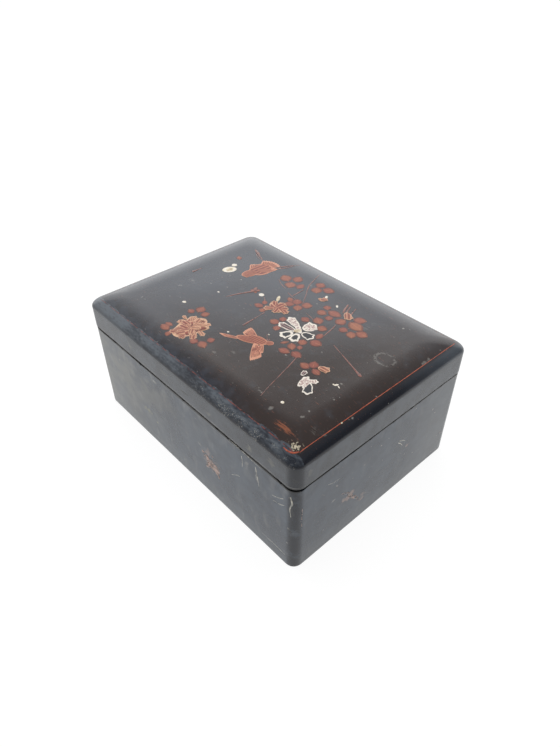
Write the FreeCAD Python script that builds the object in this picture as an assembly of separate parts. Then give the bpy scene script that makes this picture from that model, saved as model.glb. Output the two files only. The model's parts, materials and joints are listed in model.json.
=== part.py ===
import FreeCAD, Part
import math
import os

os.makedirs("parts", exist_ok=True)

# A Japanese writing box in black lacquer: a base with a raised inner lip, a flush lid with a broad
# round shoulder, a lift-out tray, and the writing set that lies in it. Everything is in millimetres.
# +Z is up, X runs along the long side, -Y is the long front face, and the origin is at the middle
# of the underside.

# Outside of the box
box_length = 250.0
box_width = 180.0
corner_radius = 8.0
seam_height = 85.5

# Boards of the base
wall_thickness = 7.0
floor_thickness = 6.0
floor_rebate = 3.5
liner_thickness = 3.0
lip_height = 8.5
foot_bevel = 0.9
seam_bevel = 0.4
lip_bevel = 0.7

# Lid: rails, and a board with a quarter-ellipse shoulder, a slight crown and a hollowed underside
lid_overhang = 0.3
lip_gap = 0.4
rail_height = 17.5
board_edge = 1.5
shoulder_run = 26.0
shoulder_rise = 10.0
crown_rise = 0.8
shoulder_steps = 9
crown_oval = 18.0
oval_corner_share = 0.95
dish_margin = 6.0
dish_run = 12.0
dish_depth = 4.5
dish_steps = 4

# Lift-out tray and the ledges that carry it
ledge_width = 5.0
ledge_height = 6.0
ledge_round = 2.0
cutting_margin = 1.0
flat_tolerance = 0.0001
tray_gap = 0.8
tray_below_seam = 1.5
tray_depth = 21.0
tray_floor_thickness = 3.0
tray_wall = 4.0
tray_corner = 2.0
tray_bevel = 0.6
notch_radius = 11.0
notch_depth = 9.0
channel_width = 30.0
divider_thickness = 3.0
divider_height = 14.0
divider_bevel = 0.6

# Fitted board with the places of the inkstone, the water dropper and the ink stick
fitted_thickness = 8.0
pocket_gap = 0.5
stone_strip = 4.2
stone_end_margin = 10.0
groove_depth = 5.0
dropper_back_margin = 17.2
stick_front_margin = 21.2

# Inkstone
stone_width = 66.0
stone_height = 17.0
stone_corner = 5.0
stone_bevel = 0.8
stone_rim = 6.0
land_depth = 2.0
land_fall = 1.2
well_length = 24.0
well_slope = 16.0
well_depth = 10.0
well_round = 3.0

# Water dropper
dropper_length = 52.0
dropper_width = 34.0
dropper_side_height = 14.0
dropper_corner = 4.0
dropper_wall = 1.2
dropper_top_edge = 0.8
dropper_top_run = 6.0
dropper_top_rise = 1.4
dropper_top_steps = 4
pour_hole_radius = 1.5
air_hole_radius = 1.0
hole_spacing = 26.0

# Ink stick
stick_length = 72.0
stick_width = 20.0
stick_thickness = 9.0
stick_corner = 0.9
stick_bevel = 0.4
stick_border = 2.4
stick_panel_depth = 0.5
stick_worn_length = 5.0
stick_worn_height = 3.0

# Brushes lying along the channel
brush_spacing = 15.0
brush_axis_height = 8.0
brush_end_gap = 1.5
rest_width = 6.0
rest_height = 7.0
rest_seat_gap = 0.12
rest_side_gap = 0.35
first_rest_from_end = 28.0
rest_spacing = 76.0
glue_gap = 0.05
spigot_length = 3.0
node_place = 0.42
node_width = 1.2
node_swell = 0.15
ferrule_bevel = 0.4
cap_gap = 0.25
cap_wall = 1.1
cap_mouth_bevel = 0.4
cap_end_bevel = 1.1
cap_end_thickness = 2.0
cap_tip_gap = 2.5
hair_steps = 4
belly_shift = 0.62
belly_fullness = 0.8

# Turned tail button: shares of its length, and shares of the handle's radius there
button_shape = [(0.0, 0.5), (0.45, 0.85), (1.0, 0.6)]

# Sizes that differ between the two brushes
large_tail_length = 5.0
large_handle_length = 114.0
large_handle_radius = 4.25
large_ferrule_length = 8.0
large_ferrule_radius = 4.75
large_bore_radius = 3.4
large_hair_length = 39.0
large_hair_radius = 4.3
large_cap_overlap = 5.0
small_tail_length = 4.0
small_handle_length = 122.0
small_handle_radius = 3.0
small_ferrule_length = 6.0
small_ferrule_radius = 3.5
small_bore_radius = 2.3
small_hair_length = 28.0
small_hair_radius = 3.0
small_cap_overlap = 3.5

# Places that follow from the sizes above
inner_length = box_length - 2 * (wall_thickness + liner_thickness)
inner_width = box_width - 2 * (wall_thickness + liner_thickness)
lid_length = box_length + 2 * lid_overhang
lid_width = box_width + 2 * lid_overhang
lid_corner = corner_radius + lid_overhang
lid_wall = wall_thickness + lid_overhang - lip_gap
lid_underside = seam_height + rail_height
tray_length = inner_length - 2 * tray_gap
tray_width = inner_width - 2 * tray_gap
tray_rim = seam_height - tray_below_seam
tray_floor_top = tray_rim - tray_depth
tray_bottom = tray_floor_top - tray_floor_thickness
tray_half_length = tray_length / 2 - tray_wall
tray_half_width = tray_width / 2 - tray_wall
channel_middle = -tray_half_width + channel_width / 2
divider_middle = -tray_half_width + channel_width + divider_thickness / 2
board_front = divider_middle + divider_thickness / 2
board_middle = (board_front + tray_half_width) / 2
stone_length = tray_half_width - board_front - 2 * (stone_strip + pocket_gap)
stone_middle = tray_half_length - stone_end_margin - pocket_gap - stone_width / 2
left_middle = (stone_middle - stone_width / 2 - pocket_gap - tray_half_length) / 2
dropper_middle = tray_half_width - dropper_back_margin - pocket_gap - dropper_width / 2
stick_middle = board_front + stick_front_margin + pocket_gap + stick_width / 2
brush_axis = tray_floor_top + brush_axis_height
brush_start = -tray_half_length + brush_end_gap


def vector(x, y, z):
    """A point or direction."""
    return FreeCAD.Vector(x, y, z)


def outline(length, width, radius, height):
    """Closed wire of a rectangle round the origin, with round corners where the radius is above zero."""
    x = length / 2
    y = width / 2
    if radius < 0.01:
        corners = [(-x, -y), (x, -y), (x, y), (-x, y), (-x, -y)]
        return Part.makePolygon([vector(a, b, height) for a, b in corners])
    edges = []
    turns = [(x, -y, -90), (x, y, 0), (-x, y, 90), (-x, -y, 180)]
    for number, (cx, cy, start) in enumerate(turns):
        centre = vector(math.copysign(x - radius, cx), math.copysign(y - radius, cy), height)
        arc = Part.makeCircle(radius, centre, vector(0, 0, 1), start, start + 90)
        nx, ny, following = turns[(number + 1) % 4]
        middle = vector(math.copysign(x - radius, nx), math.copysign(y - radius, ny), height)
        angle = math.radians(following)
        end = middle + vector(radius * math.cos(angle), radius * math.sin(angle), 0)
        edges.append(arc)
        edges.append(Part.makeLine(arc.Vertexes[-1].Point, end))
    return Part.Wire(edges)


def block(length, width, height, radius=0.0, bottom=0.0, x=0.0, y=0.0):
    """Upright block with round corners, standing at one height, with its middle at x and y."""
    face = Part.Face(outline(length, width, max(radius, 0.0), bottom))
    solid = face.extrude(vector(0, 0, height))
    solid.translate(vector(x, y, 0))
    return solid


def bevelled(solid, size, *heights):
    """The solid with the small bevel that a plane leaves on every level edge at the given heights."""
    edges = []
    for edge in solid.Edges:
        box = edge.BoundBox
        if any(abs(box.ZMin - h) < 0.001 and abs(box.ZMax - h) < 0.001 for h in heights):
            edges.append(edge)
    return solid.makeChamfer(size, edges)


def save(node, *solids):
    """Writes the solids of one node to its file."""
    shape = solids[0] if len(solids) == 1 else Part.makeCompound(list(solids))
    shape.exportStep("parts/" + node + ".step")


def sides(frame, length, width, depth):
    """Cuts a rectangular frame along its mitres into its front, back, left and right boards."""
    x = length / 2 + cutting_margin
    y = width / 2 + cutting_margin
    inner_x = length / 2 - depth
    inner_y = width / 2 - depth
    top = frame.BoundBox.ZMax + cutting_margin
    bottom = frame.BoundBox.ZMin - cutting_margin
    long_piece = [(-x, -y), (x, -y), (inner_x, -inner_y), (-inner_x, -inner_y)]
    short_piece = [(-x, -y), (-inner_x, -inner_y), (-inner_x, inner_y), (-x, y)]
    boards = {}
    for name, corners, turn in (
        ("front", long_piece, 0),
        ("back", long_piece, 180),
        ("left", short_piece, 0),
        ("right", short_piece, 180),
    ):
        points = [vector(a, b, bottom) for a, b in corners + corners[:1]]
        wedge = Part.Face(Part.makePolygon(points)).extrude(vector(0, 0, top - bottom))
        wedge.rotate(vector(0, 0, 0), vector(0, 0, 1), turn)
        boards[name] = frame.common(wedge)
    return boards


def loft(sections):
    """Solid ruled from section to section, with its flat sides as true planes."""
    faces = []
    for face in Part.makeLoft(sections, True, True).Faces:
        plane = face.findPlane(flat_tolerance)
        faces.append(Part.Face(plane, face.OuterWire) if plane else face)
    return Part.makeSolid(Part.makeShell(faces))


def pillow(length, width, radius, bottom, edge, run, rise, crown, steps):
    """Board with an upright edge, a quarter-ellipse shoulder all round and a slightly crowned top."""
    shoulder = []
    for step in range(steps + 1):
        angle = math.radians(90.0 * step / steps)
        inset = run * (1 - math.cos(angle))
        height = bottom + edge + rise * math.sin(angle)
        shoulder.append(outline(length - 2 * inset, width - 2 * inset, radius, height))
    solid = block(length, width, edge, radius, bottom)
    solid = solid.fuse(loft(shoulder))
    if crown > 0:
        # The crown slopes up to a slim oval, so that no ridge runs to the middle.
        top = bottom + edge + rise
        inset = width / 2 - crown_oval
        corner = oval_corner_share * crown_oval
        oval = outline(length - 2 * inset, 2 * crown_oval, corner, top + crown)
        solid = solid.fuse(loft([shoulder[-1], oval]))
    return solid


def base_boards():
    """Floor let into a rebate, four mitred walls, the liner whose top is the lid's lip, and the ledges."""
    floor_inset = wall_thickness - floor_rebate
    floor = block(
        box_length - 2 * floor_inset,
        box_width - 2 * floor_inset,
        floor_thickness,
        corner_radius - floor_inset,
    )
    save("base_floor", floor)

    hollow = block(
        box_length - 2 * wall_thickness,
        box_width - 2 * wall_thickness,
        seam_height,
        corner_radius - wall_thickness,
    )
    frame = block(box_length, box_width, seam_height, corner_radius)
    frame = bevelled(bevelled(frame, foot_bevel, 0.0), seam_bevel, seam_height)
    frame = frame.cut(hollow).cut(floor)
    for name, board in sides(frame, box_length, box_width, 2 * wall_thickness).items():
        save("base_" + name + "_wall", board)

    liner_height = seam_height + lip_height - floor_thickness
    liner_length = box_length - 2 * wall_thickness
    liner_width = box_width - 2 * wall_thickness
    liner = block(liner_length, liner_width, liner_height, corner_radius - wall_thickness, floor_thickness)
    liner = bevelled(liner, lip_bevel, seam_height + lip_height)
    liner = liner.cut(block(inner_length, inner_width, liner_height, 0.0, floor_thickness))
    for name, board in sides(liner, liner_length, liner_width, 2 * liner_thickness).items():
        save("liner_" + name, board)

    ledges = []
    for side in (-1, 1):
        middle = side * (inner_length - ledge_width) / 2
        ledge = block(ledge_width, inner_width, ledge_height, 0.0, tray_bottom - ledge_height, middle)
        inner_edges = []
        for edge in ledge.Edges:
            low = edge.BoundBox.ZMax < tray_bottom - ledge_height + 0.001
            inward = abs(edge.CenterOfMass.x) < abs(middle) - ledge_width / 4
            if low and inward:
                inner_edges.append(edge)
        ledges.append(ledge.makeFillet(ledge_round, inner_edges))
    save("tray_ledges", *ledges)


def lid_boards():
    """Four mitred rails and the shouldered board on them."""
    frame = block(lid_length, lid_width, rail_height, lid_corner, seam_height)
    frame = bevelled(frame, seam_bevel, seam_height)
    hollow = block(
        lid_length - 2 * lid_wall,
        lid_width - 2 * lid_wall,
        rail_height,
        lid_corner - lid_wall,
        seam_height,
    )
    frame = frame.cut(hollow)
    for name, board in sides(frame, lid_length, lid_width, 2 * lid_wall).items():
        save("lid_" + name + "_rail", board)

    board = pillow(
        lid_length,
        lid_width,
        lid_corner,
        lid_underside,
        board_edge,
        shoulder_run,
        shoulder_rise,
        crown_rise,
        shoulder_steps,
    )
    dish_inset = lid_wall + dish_margin
    dish = pillow(
        lid_length - 2 * dish_inset,
        lid_width - 2 * dish_inset,
        lid_corner,
        lid_underside - board_edge,
        board_edge,
        dish_run,
        dish_depth,
        0.0,
        dish_steps,
    )
    save("lid_top_board", board.cut(dish))


def tray_boards():
    """Tray floor, four mitred walls with a finger notch in each end, the divider and the brush rests."""
    floor = block(tray_length, tray_width, tray_floor_thickness, tray_corner, tray_bottom)
    save("tray_floor", floor)

    frame = block(tray_length, tray_width, tray_depth, tray_corner, tray_floor_top)
    frame = frame.cut(block(2 * tray_half_length, 2 * tray_half_width, tray_depth, 0.0, tray_floor_top))
    frame = bevelled(frame, tray_bevel, tray_rim)
    notch = Part.makeCylinder(
        notch_radius,
        tray_length + 2 * cutting_margin,
        vector(-tray_length / 2 - cutting_margin, 0, tray_rim - notch_depth + notch_radius),
        vector(1, 0, 0),
    )
    frame = frame.cut(notch)
    for name, board in sides(frame, tray_length, tray_width, 2 * tray_wall).items():
        save("tray_" + name + "_wall", board)

    divider = block(
        2 * tray_half_length, divider_thickness, divider_height, 0.0, tray_floor_top, 0.0, divider_middle
    )
    save("tray_divider", bevelled(divider, divider_bevel, tray_floor_top + divider_height))

    rests = []
    for number in range(2):
        middle = -tray_half_length + first_rest_from_end + number * rest_spacing
        rest = block(
            rest_width, channel_width, rest_height, 0.0, tray_floor_top, middle, channel_middle
        )
        for side, radius in ((1, large_handle_radius), (-1, small_handle_radius)):
            bottom = brush_axis - radius - rest_seat_gap
            groove_radius = radius + rest_side_gap
            y = channel_middle + side * brush_spacing / 2
            start = vector(middle - rest_width, y, bottom + groove_radius)
            groove = Part.makeCylinder(groove_radius, 2 * rest_width, start, vector(1, 0, 0))
            rest = rest.cut(groove)
        rests.append(rest)
    save("brush_rests", *rests)


def fitted_board():
    """Board that holds the inkstone and the dropper in cut-outs and the ink stick in a shallow groove."""
    board = block(
        2 * tray_half_length,
        tray_half_width - board_front,
        fitted_thickness,
        0.0,
        tray_floor_top,
        0.0,
        board_middle,
    )
    stone_pocket = block(
        stone_width + 2 * pocket_gap,
        stone_length + 2 * pocket_gap,
        fitted_thickness,
        stone_corner,
        tray_floor_top,
        stone_middle,
        board_middle,
    )
    dropper_pocket = block(
        dropper_length + 2 * pocket_gap,
        dropper_width + 2 * pocket_gap,
        fitted_thickness,
        dropper_corner,
        tray_floor_top,
        left_middle,
        dropper_middle,
    )
    groove = block(
        stick_length + 2 * pocket_gap,
        stick_width + 2 * pocket_gap,
        groove_depth,
        stick_corner,
        tray_floor_top + fitted_thickness - groove_depth,
        left_middle,
        stick_middle,
    )
    save("fitted_board", board.cut(stone_pocket).cut(dropper_pocket).cut(groove))


def inkstone():
    """Slab with a rim, a gently falling grinding land and a deep well at the back."""
    stone = block(
        stone_width, stone_length, stone_height, stone_corner, tray_floor_top, stone_middle, board_middle
    )
    top = tray_floor_top + stone_height
    stone = bevelled(stone, stone_bevel, tray_floor_top, top)
    recess = block(
        stone_width - 2 * stone_rim,
        stone_length - 2 * stone_rim,
        stone_height,
        stone_corner,
        tray_floor_top,
        stone_middle,
        board_middle,
    )
    front = board_middle - stone_length / 2
    back = board_middle + stone_length / 2 - stone_rim
    well_front = back - well_length
    land_back = well_front - well_slope
    land_end = top - land_depth - land_fall
    well_floor = top - well_depth
    reach = well_slope / 2
    corners = [
        vector(0, back, well_floor + well_round),
        vector(0, back, top + cutting_margin),
        vector(0, front, top + cutting_margin),
        vector(0, front, top - land_depth),
        vector(0, land_back, land_end),
    ]
    slope = Part.BezierCurve()
    slope.setPoles(
        [
            vector(0, land_back, land_end),
            vector(0, land_back + reach, land_end),
            vector(0, well_front - reach, well_floor),
            vector(0, well_front, well_floor),
        ]
    )
    cove = Part.makeCircle(
        well_round,
        vector(0, back - well_round, well_floor + well_round),
        vector(1, 0, 0),
        -90,
        0,
    )
    floor_line = Part.makeLine(vector(0, well_front, well_floor), vector(0, back - well_round, well_floor))
    edges = Part.makePolygon(corners).Edges + [slope.toShape(), floor_line, cove]
    profile = Part.Face(Part.Wire(Part.__sortEdges__(edges)))
    space = profile.extrude(vector(stone_width, 0, 0))
    space.translate(vector(stone_middle - stone_width / 2, 0, 0))
    save("inkstone", stone.cut(space.common(recess)))


def water_dropper():
    """Small rectangular metal flask: a cup, and a pillowed top with a pouring hole and an air hole."""
    cup = block(
        dropper_length,
        dropper_width,
        dropper_side_height,
        dropper_corner,
        tray_floor_top,
        left_middle,
        dropper_middle,
    )
    inside = block(
        dropper_length - 2 * dropper_wall,
        dropper_width - 2 * dropper_wall,
        dropper_side_height,
        dropper_corner - dropper_wall,
        tray_floor_top + dropper_wall,
        left_middle,
        dropper_middle,
    )
    save("dropper_body", cup.cut(inside))

    seat = tray_floor_top + dropper_side_height
    top = pillow(
        dropper_length,
        dropper_width,
        dropper_corner,
        seat,
        dropper_top_edge,
        dropper_top_run,
        dropper_top_rise,
        0.0,
        dropper_top_steps,
    )
    tall = 2 * (dropper_top_edge + dropper_top_rise)
    for side, radius in ((-1, air_hole_radius), (1, pour_hole_radius)):
        start = vector(side * hole_spacing / 2, 0, seat - tall / 2)
        top = top.cut(Part.makeCylinder(radius, 2 * tall, start))
    top.translate(vector(left_middle, dropper_middle, 0))
    save("dropper_top", top)


def ink_stick():
    """Moulded bar with a sunk panel, and one end ground away at a slant by use."""
    bottom = tray_floor_top + fitted_thickness - groove_depth
    top = bottom + stick_thickness
    y = stick_middle
    stick = block(stick_length, stick_width, stick_thickness, stick_corner, bottom, left_middle, y)
    panel = block(
        stick_length - 2 * stick_border - stick_worn_length,
        stick_width - 2 * stick_border,
        2 * stick_panel_depth,
        stick_corner,
        top - stick_panel_depth,
        left_middle - stick_worn_length / 2,
        y,
    )
    stick = bevelled(stick, stick_bevel, bottom, top).cut(panel)
    end = left_middle + stick_length / 2
    above = top + cutting_margin
    beyond = end + cutting_margin
    worn = [
        vector(end - stick_worn_length, y - stick_width, above),
        vector(beyond, y - stick_width, above),
        vector(beyond, y - stick_width, bottom + stick_worn_height),
        vector(end, y - stick_width, bottom + stick_worn_height),
    ]
    wedge = Part.Face(Part.makePolygon(worn + worn[:1])).extrude(vector(0, 2 * stick_width, 0))
    save("ink_stick", stick.cut(wedge))


def turned(profile, y):
    """Solid turned about the brush's axis, from the corner points of its half section."""
    points = [vector(x, 0, r) for x, r in profile]
    face = Part.Face(Part.makePolygon(points + points[:1]))
    solid = face.revolve(vector(0, 0, 0), vector(1, 0, 0), 360)
    solid.translate(vector(0, y, brush_axis))
    return solid


def brush(name, y, tail, handle, radius, ferrule, ferrule_radius, bore, hair, hair_radius, overlap):
    """One writing brush: tail button, bamboo handle, ferrule, hair and the slip-on cap."""
    handle_start = brush_start + tail
    handle_end = handle_start + handle
    ferrule_end = handle_end + ferrule
    tip = ferrule_end + hair

    button = [(brush_start, 0)]
    for along, out in button_shape:
        button.append((brush_start + along * tail, out * radius))
    save(name + "_tail", turned(button + [(handle_start, 0)], y))

    # The bamboo swells a little at the joint between its two lengths.
    joint = handle_start + node_place * handle
    shaft = radius - node_swell
    spigot = bore - glue_gap
    cane = [
        (handle_start, 0),
        (handle_start, shaft),
        (joint - node_width, shaft),
        (joint, radius),
        (joint + node_width, shaft),
        (handle_end, shaft),
        (handle_end, spigot),
        (handle_end + spigot_length, spigot),
        (handle_end + spigot_length, 0),
    ]
    save(name + "_handle", turned(cane, y))

    collar = [
        (handle_end, bore),
        (handle_end, ferrule_radius - ferrule_bevel),
        (handle_end + ferrule_bevel, ferrule_radius),
        (ferrule_end - ferrule_bevel, ferrule_radius),
        (ferrule_end, ferrule_radius - ferrule_bevel),
        (ferrule_end, bore),
    ]
    save(name + "_ferrule", turned(collar, y))

    root = handle_end + spigot_length
    tuft = [(root, 0), (root, spigot), (ferrule_end, spigot)]
    for step in range(1, hair_steps):
        # The tuft bellies out near the ferrule and thins to a point.
        share = step / hair_steps
        belly = hair_radius * math.sin(math.pi * share ** belly_shift) ** belly_fullness
        taper = spigot * (1 - share) ** 2
        tuft.append((ferrule_end + hair * share, min(hair_radius, taper + belly)))
    save(name + "_hair", turned(tuft + [(tip, 0)], y))

    mouth = ferrule_end - overlap
    inside = ferrule_radius + cap_gap
    outside = inside + cap_wall
    blind = tip + cap_tip_gap
    end = blind + cap_end_thickness
    sleeve = [
        (mouth, inside),
        (mouth, outside - cap_mouth_bevel),
        (mouth + cap_mouth_bevel, outside),
        (end - cap_end_bevel, outside),
        (end, outside - cap_end_bevel),
        (end, 0),
        (blind, 0),
        (blind, inside),
    ]
    save(name + "_cap", turned(sleeve, y))
    print(name, "is", round(end - brush_start, 1), "mm long in its cap")


base_boards()
lid_boards()
tray_boards()
fitted_board()
inkstone()
water_dropper()
ink_stick()
brush(
    "large_brush",
    channel_middle + brush_spacing / 2,
    large_tail_length,
    large_handle_length,
    large_handle_radius,
    large_ferrule_length,
    large_ferrule_radius,
    large_bore_radius,
    large_hair_length,
    large_hair_radius,
    large_cap_overlap,
)
brush(
    "small_brush",
    channel_middle - brush_spacing / 2,
    small_tail_length,
    small_handle_length,
    small_handle_radius,
    small_ferrule_length,
    small_ferrule_radius,
    small_bore_radius,
    small_hair_length,
    small_hair_radius,
    small_cap_overlap,
)
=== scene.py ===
# %% [markdown]
# # A lacquered writing box
#
# The real box is thin softwood under many coats of black lacquer. A flush lid closes over a raised inner
# lip, and birds, leaves and blossoms are painted on the lid in red, gold and white. A century of handling
# has bloomed the black to grey-blue, rubbed the corners and chipped the edge of the seam.
#
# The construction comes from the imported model. This script adds the looks: skins of lacquer over the
# boards, the painted ornament as thin raised plates, and the finish of the writing set inside.

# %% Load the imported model
import json
import math

import bmesh
import bpy
from mathutils import Matrix, Vector, noise


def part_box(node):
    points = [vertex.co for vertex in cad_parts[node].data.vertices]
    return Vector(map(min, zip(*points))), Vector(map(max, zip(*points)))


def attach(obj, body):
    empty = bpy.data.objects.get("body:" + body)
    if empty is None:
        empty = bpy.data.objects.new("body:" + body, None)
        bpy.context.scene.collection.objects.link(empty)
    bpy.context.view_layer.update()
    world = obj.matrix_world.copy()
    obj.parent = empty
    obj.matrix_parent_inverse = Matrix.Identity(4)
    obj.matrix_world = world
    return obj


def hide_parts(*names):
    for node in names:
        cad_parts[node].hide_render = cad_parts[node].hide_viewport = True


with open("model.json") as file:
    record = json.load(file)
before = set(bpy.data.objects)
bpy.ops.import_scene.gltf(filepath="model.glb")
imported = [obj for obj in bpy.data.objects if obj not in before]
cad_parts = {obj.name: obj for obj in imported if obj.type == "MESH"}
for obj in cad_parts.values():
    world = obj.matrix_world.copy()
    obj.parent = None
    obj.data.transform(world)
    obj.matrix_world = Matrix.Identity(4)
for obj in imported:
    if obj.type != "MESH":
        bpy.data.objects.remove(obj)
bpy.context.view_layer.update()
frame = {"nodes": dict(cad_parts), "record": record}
nodes = frame["nodes"]
MM = 0.001

# %% [markdown]
# ## One helper for every node tree
#
# A material is easier to read as sums than as a web of nodes. `Wire` stands for one output of a node, and
# a sum written with it adds its Math node. `Board` stands for a node tree, of a material or of Geometry
# Nodes, and adds any other node from its type, its settings and the values of its sockets.


# %% Sums of outputs
class Wire:
    """An output of a node. A sum written with it adds the Math node that works it out."""

    def __init__(self, board, socket):
        self.board = board
        self.socket = socket

    def other(self, name):
        """Another output of the same node."""
        return Wire(self.board, self.socket.node.outputs[name])

    def __add__(self, value):
        return self.board.math("ADD", self, value)

    def __sub__(self, value):
        return self.board.math("SUBTRACT", self, value)

    def __rsub__(self, value):
        return self.board.math("SUBTRACT", value, self)

    def __mul__(self, value):
        return self.board.math("MULTIPLY", self, value)

    __radd__ = __add__
    __rmul__ = __mul__


print("sums ready")

# %% A board of nodes


class Board:
    """A node tree, and the short ways to add nodes to it."""

    def __init__(self, tree):
        self.tree = tree
        tree.nodes.clear()

    def node(self, kind, settings=None, values=None, output=0):
        """Add a node: its settings first, then the values or links of its sockets."""
        made = self.tree.nodes.new(kind)
        for name, value in (settings or {}).items():
            setattr(made, name, value)
        for name, value in (values or {}).items():
            if isinstance(value, Wire):
                self.tree.links.new(value.socket, made.inputs[name])
            else:
                made.inputs[name].default_value = value
        return Wire(self, made.outputs[output]) if len(made.outputs) else made

    def math(self, operation, first, second=0.0):
        """One Math node."""
        return self.node("ShaderNodeMath", {"operation": operation}, {0: first, 1: second})

    def vector(self, operation, first, second=(0, 0, 0), output=0):
        """One Vector Math node."""
        values = {0: first, "Scale" if operation == "SCALE" else 1: second}
        return self.node("ShaderNodeVectorMath", {"operation": operation}, values, output)

    def band(self, value, low, high):
        """Rises smoothly from 0 at low to 1 at high. With low above high it falls."""
        settings = {"interpolation_type": "SMOOTHSTEP"}
        if low < high:
            values = {"Value": value, "From Min": low, "From Max": high}
        else:
            values = {"Value": value, "From Min": high, "From Max": low, "To Min": 1.0, "To Max": 0.0}
        return self.node("ShaderNodeMapRange", settings, values)

    def mix(self, share, first, second):
        """Colour that goes from the first to the second."""
        return self.node("ShaderNodeMix", {"data_type": "RGBA"}, {0: share, 6: first, 7: second}, 2)

    def noise(self, place, size, detail, shift=0.0, stretch=(1, 1, 1)):
        """Noise round 0.5 whose patches are about size millimetres across."""
        scale = [1 / (size * s) for s in stretch]
        settings = {"operation": "MULTIPLY_ADD"}
        spot = self.node("ShaderNodeVectorMath", settings, {0: place, 1: scale, 2: (shift,) * 3})
        return self.node("ShaderNodeTexNoise", {}, {"Vector": spot, "Scale": 1.0, "Detail": detail}, 0)

    def place(self):
        """Where a point is, in millimetres."""
        coordinates = self.node("ShaderNodeTexCoord", output="Object")
        return self.vector("SCALE", coordinates, 1 / MM)

    def axes(self, place):
        """The three numbers of a place."""
        first = self.node("ShaderNodeSeparateXYZ", {}, {0: place})
        return first, first.other(1), first.other(2)

    def attribute(self, name):
        """A number kept on the mesh, such as how far along a leaf a point is."""
        return self.node("ShaderNodeAttribute", {"attribute_name": name}, output="Fac")

    def blot(self, place, centre, size, soft):
        """1 inside an oval blot, up to the share soft of its size, falling to 0 at its edge."""
        away = self.vector("DIVIDE", self.vector("SUBTRACT", place, centre), size)
        return self.band(self.vector("LENGTH", away, output="Value"), 1.0, soft)


print("board ready")

# %% [markdown]
# ## Colours and surfaces
#
# A colour is easiest to judge as a screen shows it, so colours are written that way and turned into the
# light that Blender reckons with. Every finish on the object is one Principled surface: lacquer, paint,
# stone, copper, horn and hair differ only in what is fed into it. Separate shader types for each would give
# no more and would bake worse.

# %% Colours and surfaces


def rgb(red, green, blue):
    """A colour written as on a screen, from 0 to 255, as the light that it stands for."""
    shares = [v / 255 for v in (red, green, blue)]
    return [s / 12.92 if s <= 0.04045 else ((s + 0.055) / 1.055) ** 2.4 for s in shares] + [1.0]


def finish(name):
    """A new material and its board."""
    material = bpy.data.materials.new(name)
    material.use_nodes = True
    return material, Board(material.node_tree)


def surface(board, colour, roughness, height=None, depth=0.0, **fixed):
    """The end of a material: a Principled surface, with a bump of so many millimetres."""
    values = {"Base Color": colour, "Roughness": roughness}
    if height is not None:
        values["Normal"] = board.node(
            "ShaderNodeBump", {}, {"Height": height, "Strength": 1.0, "Distance": depth * MM}
        )
    values.update({name.replace("_", " "): value for name, value in fixed.items()})
    principled = board.node("ShaderNodeBsdfPrincipled", {}, values)
    board.node("ShaderNodeOutputMaterial", {}, {"Surface": principled})


print("colours and surfaces ready")

# %% [markdown]
# ## Camera
#
# The camera stands where the photographer's did. Its place and turn were worked out by matching the
# corners of the box, taken as 250 mm long. The lens is wide, and the picture is upright.

# %% Camera
PICTURE_HEIGHT = 747
FOCAL_PIXELS = 578.42
SENSOR = 36.0
NEAREST = 0.01
FARTHEST = 50.0
camera_place = Vector((283.88, -250.35, 369.43)) * MM
camera_right = Vector((0.67793, 0.73513, 0.00224))
camera_back = Vector((0.56456, -0.52259, 0.63888))
camera_up = camera_back.cross(camera_right)

camera = bpy.data.objects.new("camera", bpy.data.cameras.new("camera"))
bpy.context.collection.objects.link(camera)
camera.data.sensor_width = SENSOR
camera.data.lens = FOCAL_PIXELS * SENSOR / PICTURE_HEIGHT
turn = Matrix((camera_right, camera_up, camera_back)).transposed().to_4x4()
camera.matrix_world = Matrix.Translation(camera_place) @ turn
camera.data.clip_start = NEAREST
camera.data.clip_end = FARTHEST
bpy.context.scene.camera = camera
print("lens", round(camera.data.lens, 2), "mm")

# %% [markdown]
# ## Studio
#
# Black lacquer shows what stands round it far more than its own colour. The sides of this box look grey
# because a white table lies under them, and the lid is paler on the left because a bright wall stands
# there. So the sky is made by direction: bright and low towards the back left, dark overhead and to the
# right. A soft lamp overhead, which the lacquer doesn't mirror, brings the light up to a plain level.
# Rays that come straight from the camera see plain white.

# %% Sky
WHITE = (1, 1, 1, 1)
BRIGHT_SIDE = (-0.9, 0.44, 0.0)
DARK_SKY = 0.25
BRIGHT_SKY = 1.9
HIGH_SKY = 0.42
DARK_FROM, BRIGHT_FROM = -0.15, 0.85
HIGH_FROM, HIGH_FULL = 0.56, 0.76

world = bpy.data.worlds.new("studio")
bpy.context.scene.world = world
world.use_nodes = True
sky = Board(world.node_tree)
direction = sky.node("ShaderNodeTexCoord", output="Generated")
side = sky.vector("DOT_PRODUCT", direction, BRIGHT_SIDE, "Value")
low_sky = DARK_SKY + sky.band(side, DARK_FROM, BRIGHT_FROM) * (BRIGHT_SKY - DARK_SKY)
height = sky.axes(direction)[2]
fade = sky.band(height, HIGH_FROM, HIGH_FULL)
studio_light = low_sky * (1 - fade) + fade * HIGH_SKY
seen = sky.node("ShaderNodeLightPath", output="Is Camera Ray")
strength = studio_light * (1 - seen) + seen
background = sky.node("ShaderNodeBackground", {}, {"Color": WHITE, "Strength": strength})
sky.node("ShaderNodeOutputWorld", {}, {"Surface": background})
print("sky from", DARK_SKY, "to", BRIGHT_SKY)

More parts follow.
